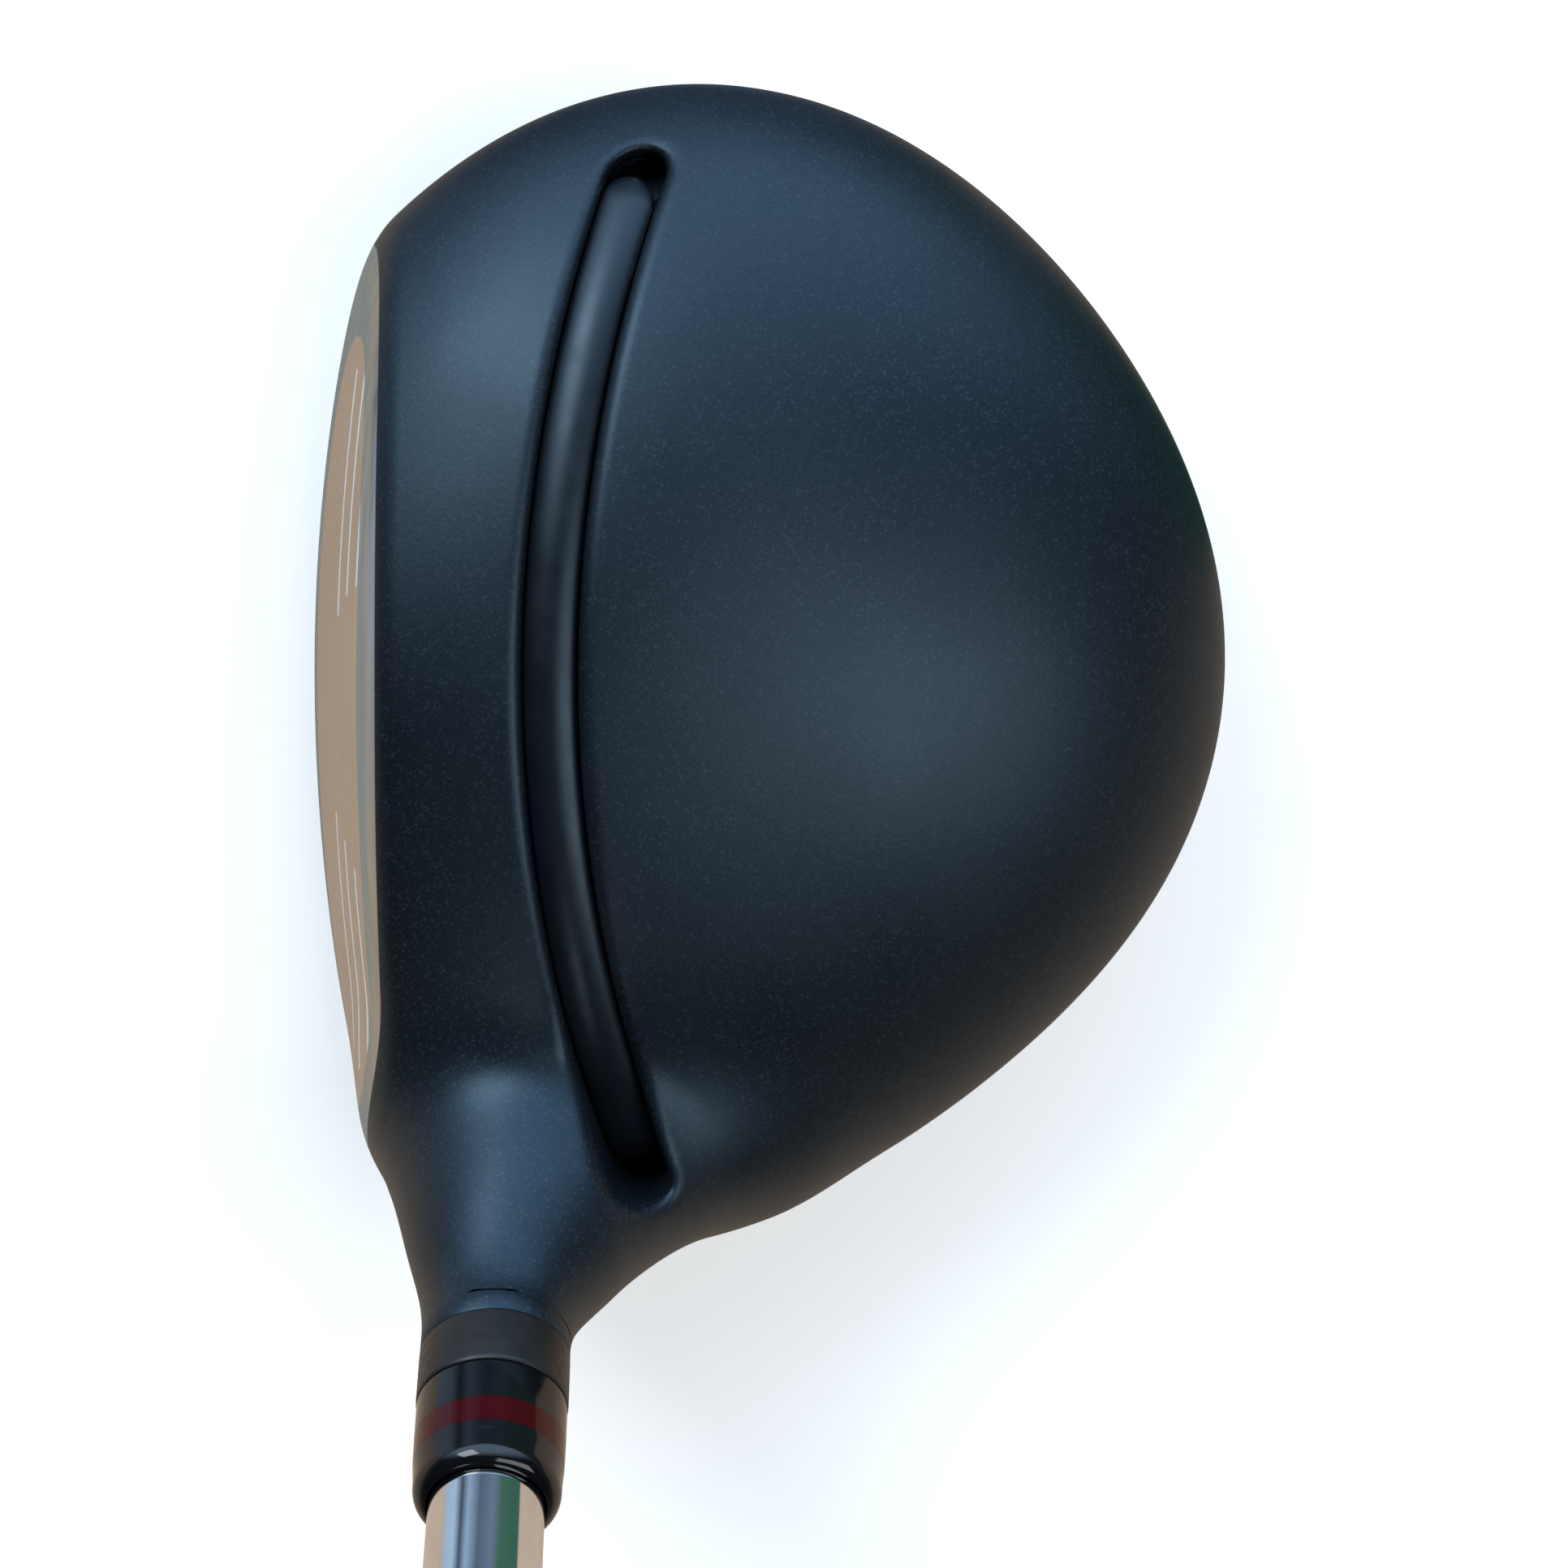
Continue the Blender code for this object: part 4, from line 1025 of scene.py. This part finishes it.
def lights():
    head = (0.0, 0.0, 0.03)
    area_light("toe_window", (-0.52, 0.74, 0.76), head, (0.5, 0.6), 6.2, (0.88, 0.95, 1.0))
    area_light("ceiling", (0.56, -0.14, 0.94), head, (0.55, 0.85), 4.9, (0.94, 0.97, 1.0))
    area_light("heel_fill", (-0.25, -0.9, 0.9), (0.0, -0.05, 0.04), (0.25, 0.25), 1.0, (1.0, 0.98, 0.95))


def world():
    """A dim room above a tan ground, with a wide pale window low down beyond the toe."""
    made = bpy.data.worlds.new("room")
    bpy.context.scene.world = made
    made.use_nodes = True
    tree = made.node_tree
    nodes, links = tree.nodes, tree.links

    def spread(value, low, high):
        ramp = nodes.new("ShaderNodeMapRange")
        ramp.interpolation_type = "SMOOTHSTEP"
        links.new(value, ramp.inputs["Value"])
        ramp.inputs["From Min"].default_value = low
        ramp.inputs["From Max"].default_value = high
        return ramp.outputs[0]

    def mix(share, first, second):
        made = nodes.new("ShaderNodeMix")
        made.data_type = "RGBA"
        links.new(share, made.inputs[0])
        for value, socket in ((first, made.inputs[6]), (second, made.inputs[7])):
            if isinstance(value, bpy.types.NodeSocket):
                links.new(value, socket)
            else:
                socket.default_value = (*value, 1.0)
        return made.outputs[2]

    split = nodes.new("ShaderNodeSeparateXYZ")
    links.new(nodes.new("ShaderNodeTexCoord").outputs["Generated"], split.inputs[0])
    room = mix(spread(split.outputs["Z"], 0.02, 0.30), ROOM_LOW, ROOM_HIGH)
    toeward = nodes.new("ShaderNodeMath")
    toeward.operation = "MULTIPLY"
    links.new(spread(split.outputs["Y"], 0.35, 0.85), toeward.inputs[0])
    links.new(spread(split.outputs["Z"], -0.05, 0.10), toeward.inputs[1])
    room = mix(toeward.outputs[0], room, WINDOW)
    seen = mix(nodes.new("ShaderNodeLightPath").outputs["Is Camera Ray"], room, BACKDROP)
    links.new(seen, nodes["Background"].inputs["Color"])


def floor():
    """A pale floor, evenly bright to the camera. To all other rays it shows painted reflections, warm wood
    near the club and dim blue bands beyond the toe, and it glows with them.
    """
    look = Look("pale_floor", BACKDROP, 0.8, Specular_IOR_Level=0.1)
    direct = look.tree.nodes.new("ShaderNodeLightPath").outputs["Is Camera Ray"]
    split = look.node("ShaderNodeSeparateXYZ", Vector=look.place)
    x, y = split.outputs["X"], split.outputs["Y"]
    warm = look.mix(look.spread(look.noise(3.0), 0.0, 1.0), (0.46, 0.33, 0.23, 1.0), (0.55, 0.41, 0.30, 1.0))
    beyond = look.spread(y, 0.0, 1.0, 0.055, 0.065)
    left = look.math("MULTIPLY", look.spread(x, 1.0, 0.0, -0.075, -0.065),
                     look.spread(y, 0.0, 1.0, -0.025, -0.020))
    right = look.math("MULTIPLY", look.spread(x, 0.0, 1.0, 0.055, 0.060),
                      look.spread(y, 0.0, 1.0, 0.010, 0.015))
    dim = look.math("MAXIMUM", beyond, look.math("MAXIMUM", left, right))
    bands = look.tree.nodes.new("ShaderNodeValToRGB")
    azimuth = look.math("ARCTAN2", look.math("ADD", x, 0.010), look.math("ADD", y, 0.062))
    look.put(look.spread(azimuth, 0.0, 1.0, -1.15, 1.15), bands.inputs["Fac"])
    stops = FLOOR_REFLECTION_BANDS
    for _ in stops[2:]:
        bands.color_ramp.elements.new(0.5)
    for element, (position, colour) in zip(bands.color_ramp.elements, stops):
        element.position = position
        element.color = (*colour, 1.0)
    # Painted reflection: beyond the toe and beside the head, rays other than the camera's see the band
    # colours instead of warm tan.
    warm = look.mix(dim, warm, bands.outputs["Color"])
    shade = look.mix(direct, warm, (*BACKDROP, 1.0))
    look.put(shade, look.shader.inputs["Base Color"])
    # Painted glow: the floor emits this colour too, pale to the camera and the painted reflection colours to
    # every other ray.
    look.put(shade, look.shader.inputs["Emission Color"])
    look.shader.inputs["Emission Strength"].default_value = FLOOR_GLOW
    half = 6.0
    mesh = bpy.data.meshes.new("floor")
    corners = [(-half, -half, 0.0), (half, -half, 0.0), (half, half, 0.0), (-half, half, 0.0)]
    mesh.from_pydata(corners, [], [(0, 1, 2, 3)])
    made = scene_object("floor", mesh, look.material)
    made.location.z = -0.0005


def main():
    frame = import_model()
    camera()

    paint = black_paint()
    build_head(paint, face_steel())
    build_bar(bar_elastomer())
    build_weight(machined("weight_metal", (0.42, 0.41, 0.40), (0.34, 0.33, 0.32), 0.26, 0.42))
    screw_steel = machined("screw_steel", (0.46, 0.46, 0.46), (0.36, 0.36, 0.37), 0.22, 0.38)
    build_screw(screw_steel)

    gloss = ferrule_gloss("ferrule_black", (0.003, 0.003, 0.004), (0.005, 0.005, 0.006))
    red = ferrule_gloss("ferrule_red", (0.060, 0.0015, 0.003), (0.045, 0.001, 0.003), 0.25)
    pieces = build_ferrule(gloss, red)
    pieces.append((build_sleeve(collar_anodised()), "adapter_sleeve", "sleeve_black"))
    pieces.append((build_shaft(chrome()), "shaft", "shaft_chrome"))
    rubber = moulded("grip_rubber", (0.018, 0.018, 0.018), (0.030, 0.029, 0.028), 0.55, 0.75, 1400.0, 0.05)
    cap_rubber = moulded("grip_cap_rubber", (0.020, 0.020, 0.020), (0.028, 0.027, 0.027), 0.45, 0.6)
    pieces += build_grip(rubber, cap_rubber)
    for piece, node, slot in pieces:
        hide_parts(node)
        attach(piece, "shaft_assembly")

    kept = {
        "hosel_screw_washer": screw_steel,
        "hosel_screw_retainer": moulded("retainer_nylon", (0.06, 0.06, 0.06), (0.085, 0.085, 0.08), 0.4, 0.6),
        "sole_weight_washer": moulded("washer_nylon", (0.05, 0.05, 0.05), (0.075, 0.075, 0.07), 0.4, 0.6),
        "shaft_tip_plug": moulded("tip_plug_plastic", (0.48, 0.38, 0.24), (0.58, 0.47, 0.31), 0.5, 0.7),
        "grip_tape": moulded("tape_paper", (0.72, 0.70, 0.62), (0.80, 0.78, 0.70), 0.6, 0.8, 2200.0, 0.03),
    }
    for node, look in kept.items():
        mesh = frame["nodes"][node].data
        mesh.materials.clear()
        mesh.materials.append(look)

    lights()
    world()
    floor()
    bpy.context.scene.view_settings.view_transform = "Standard"


main()
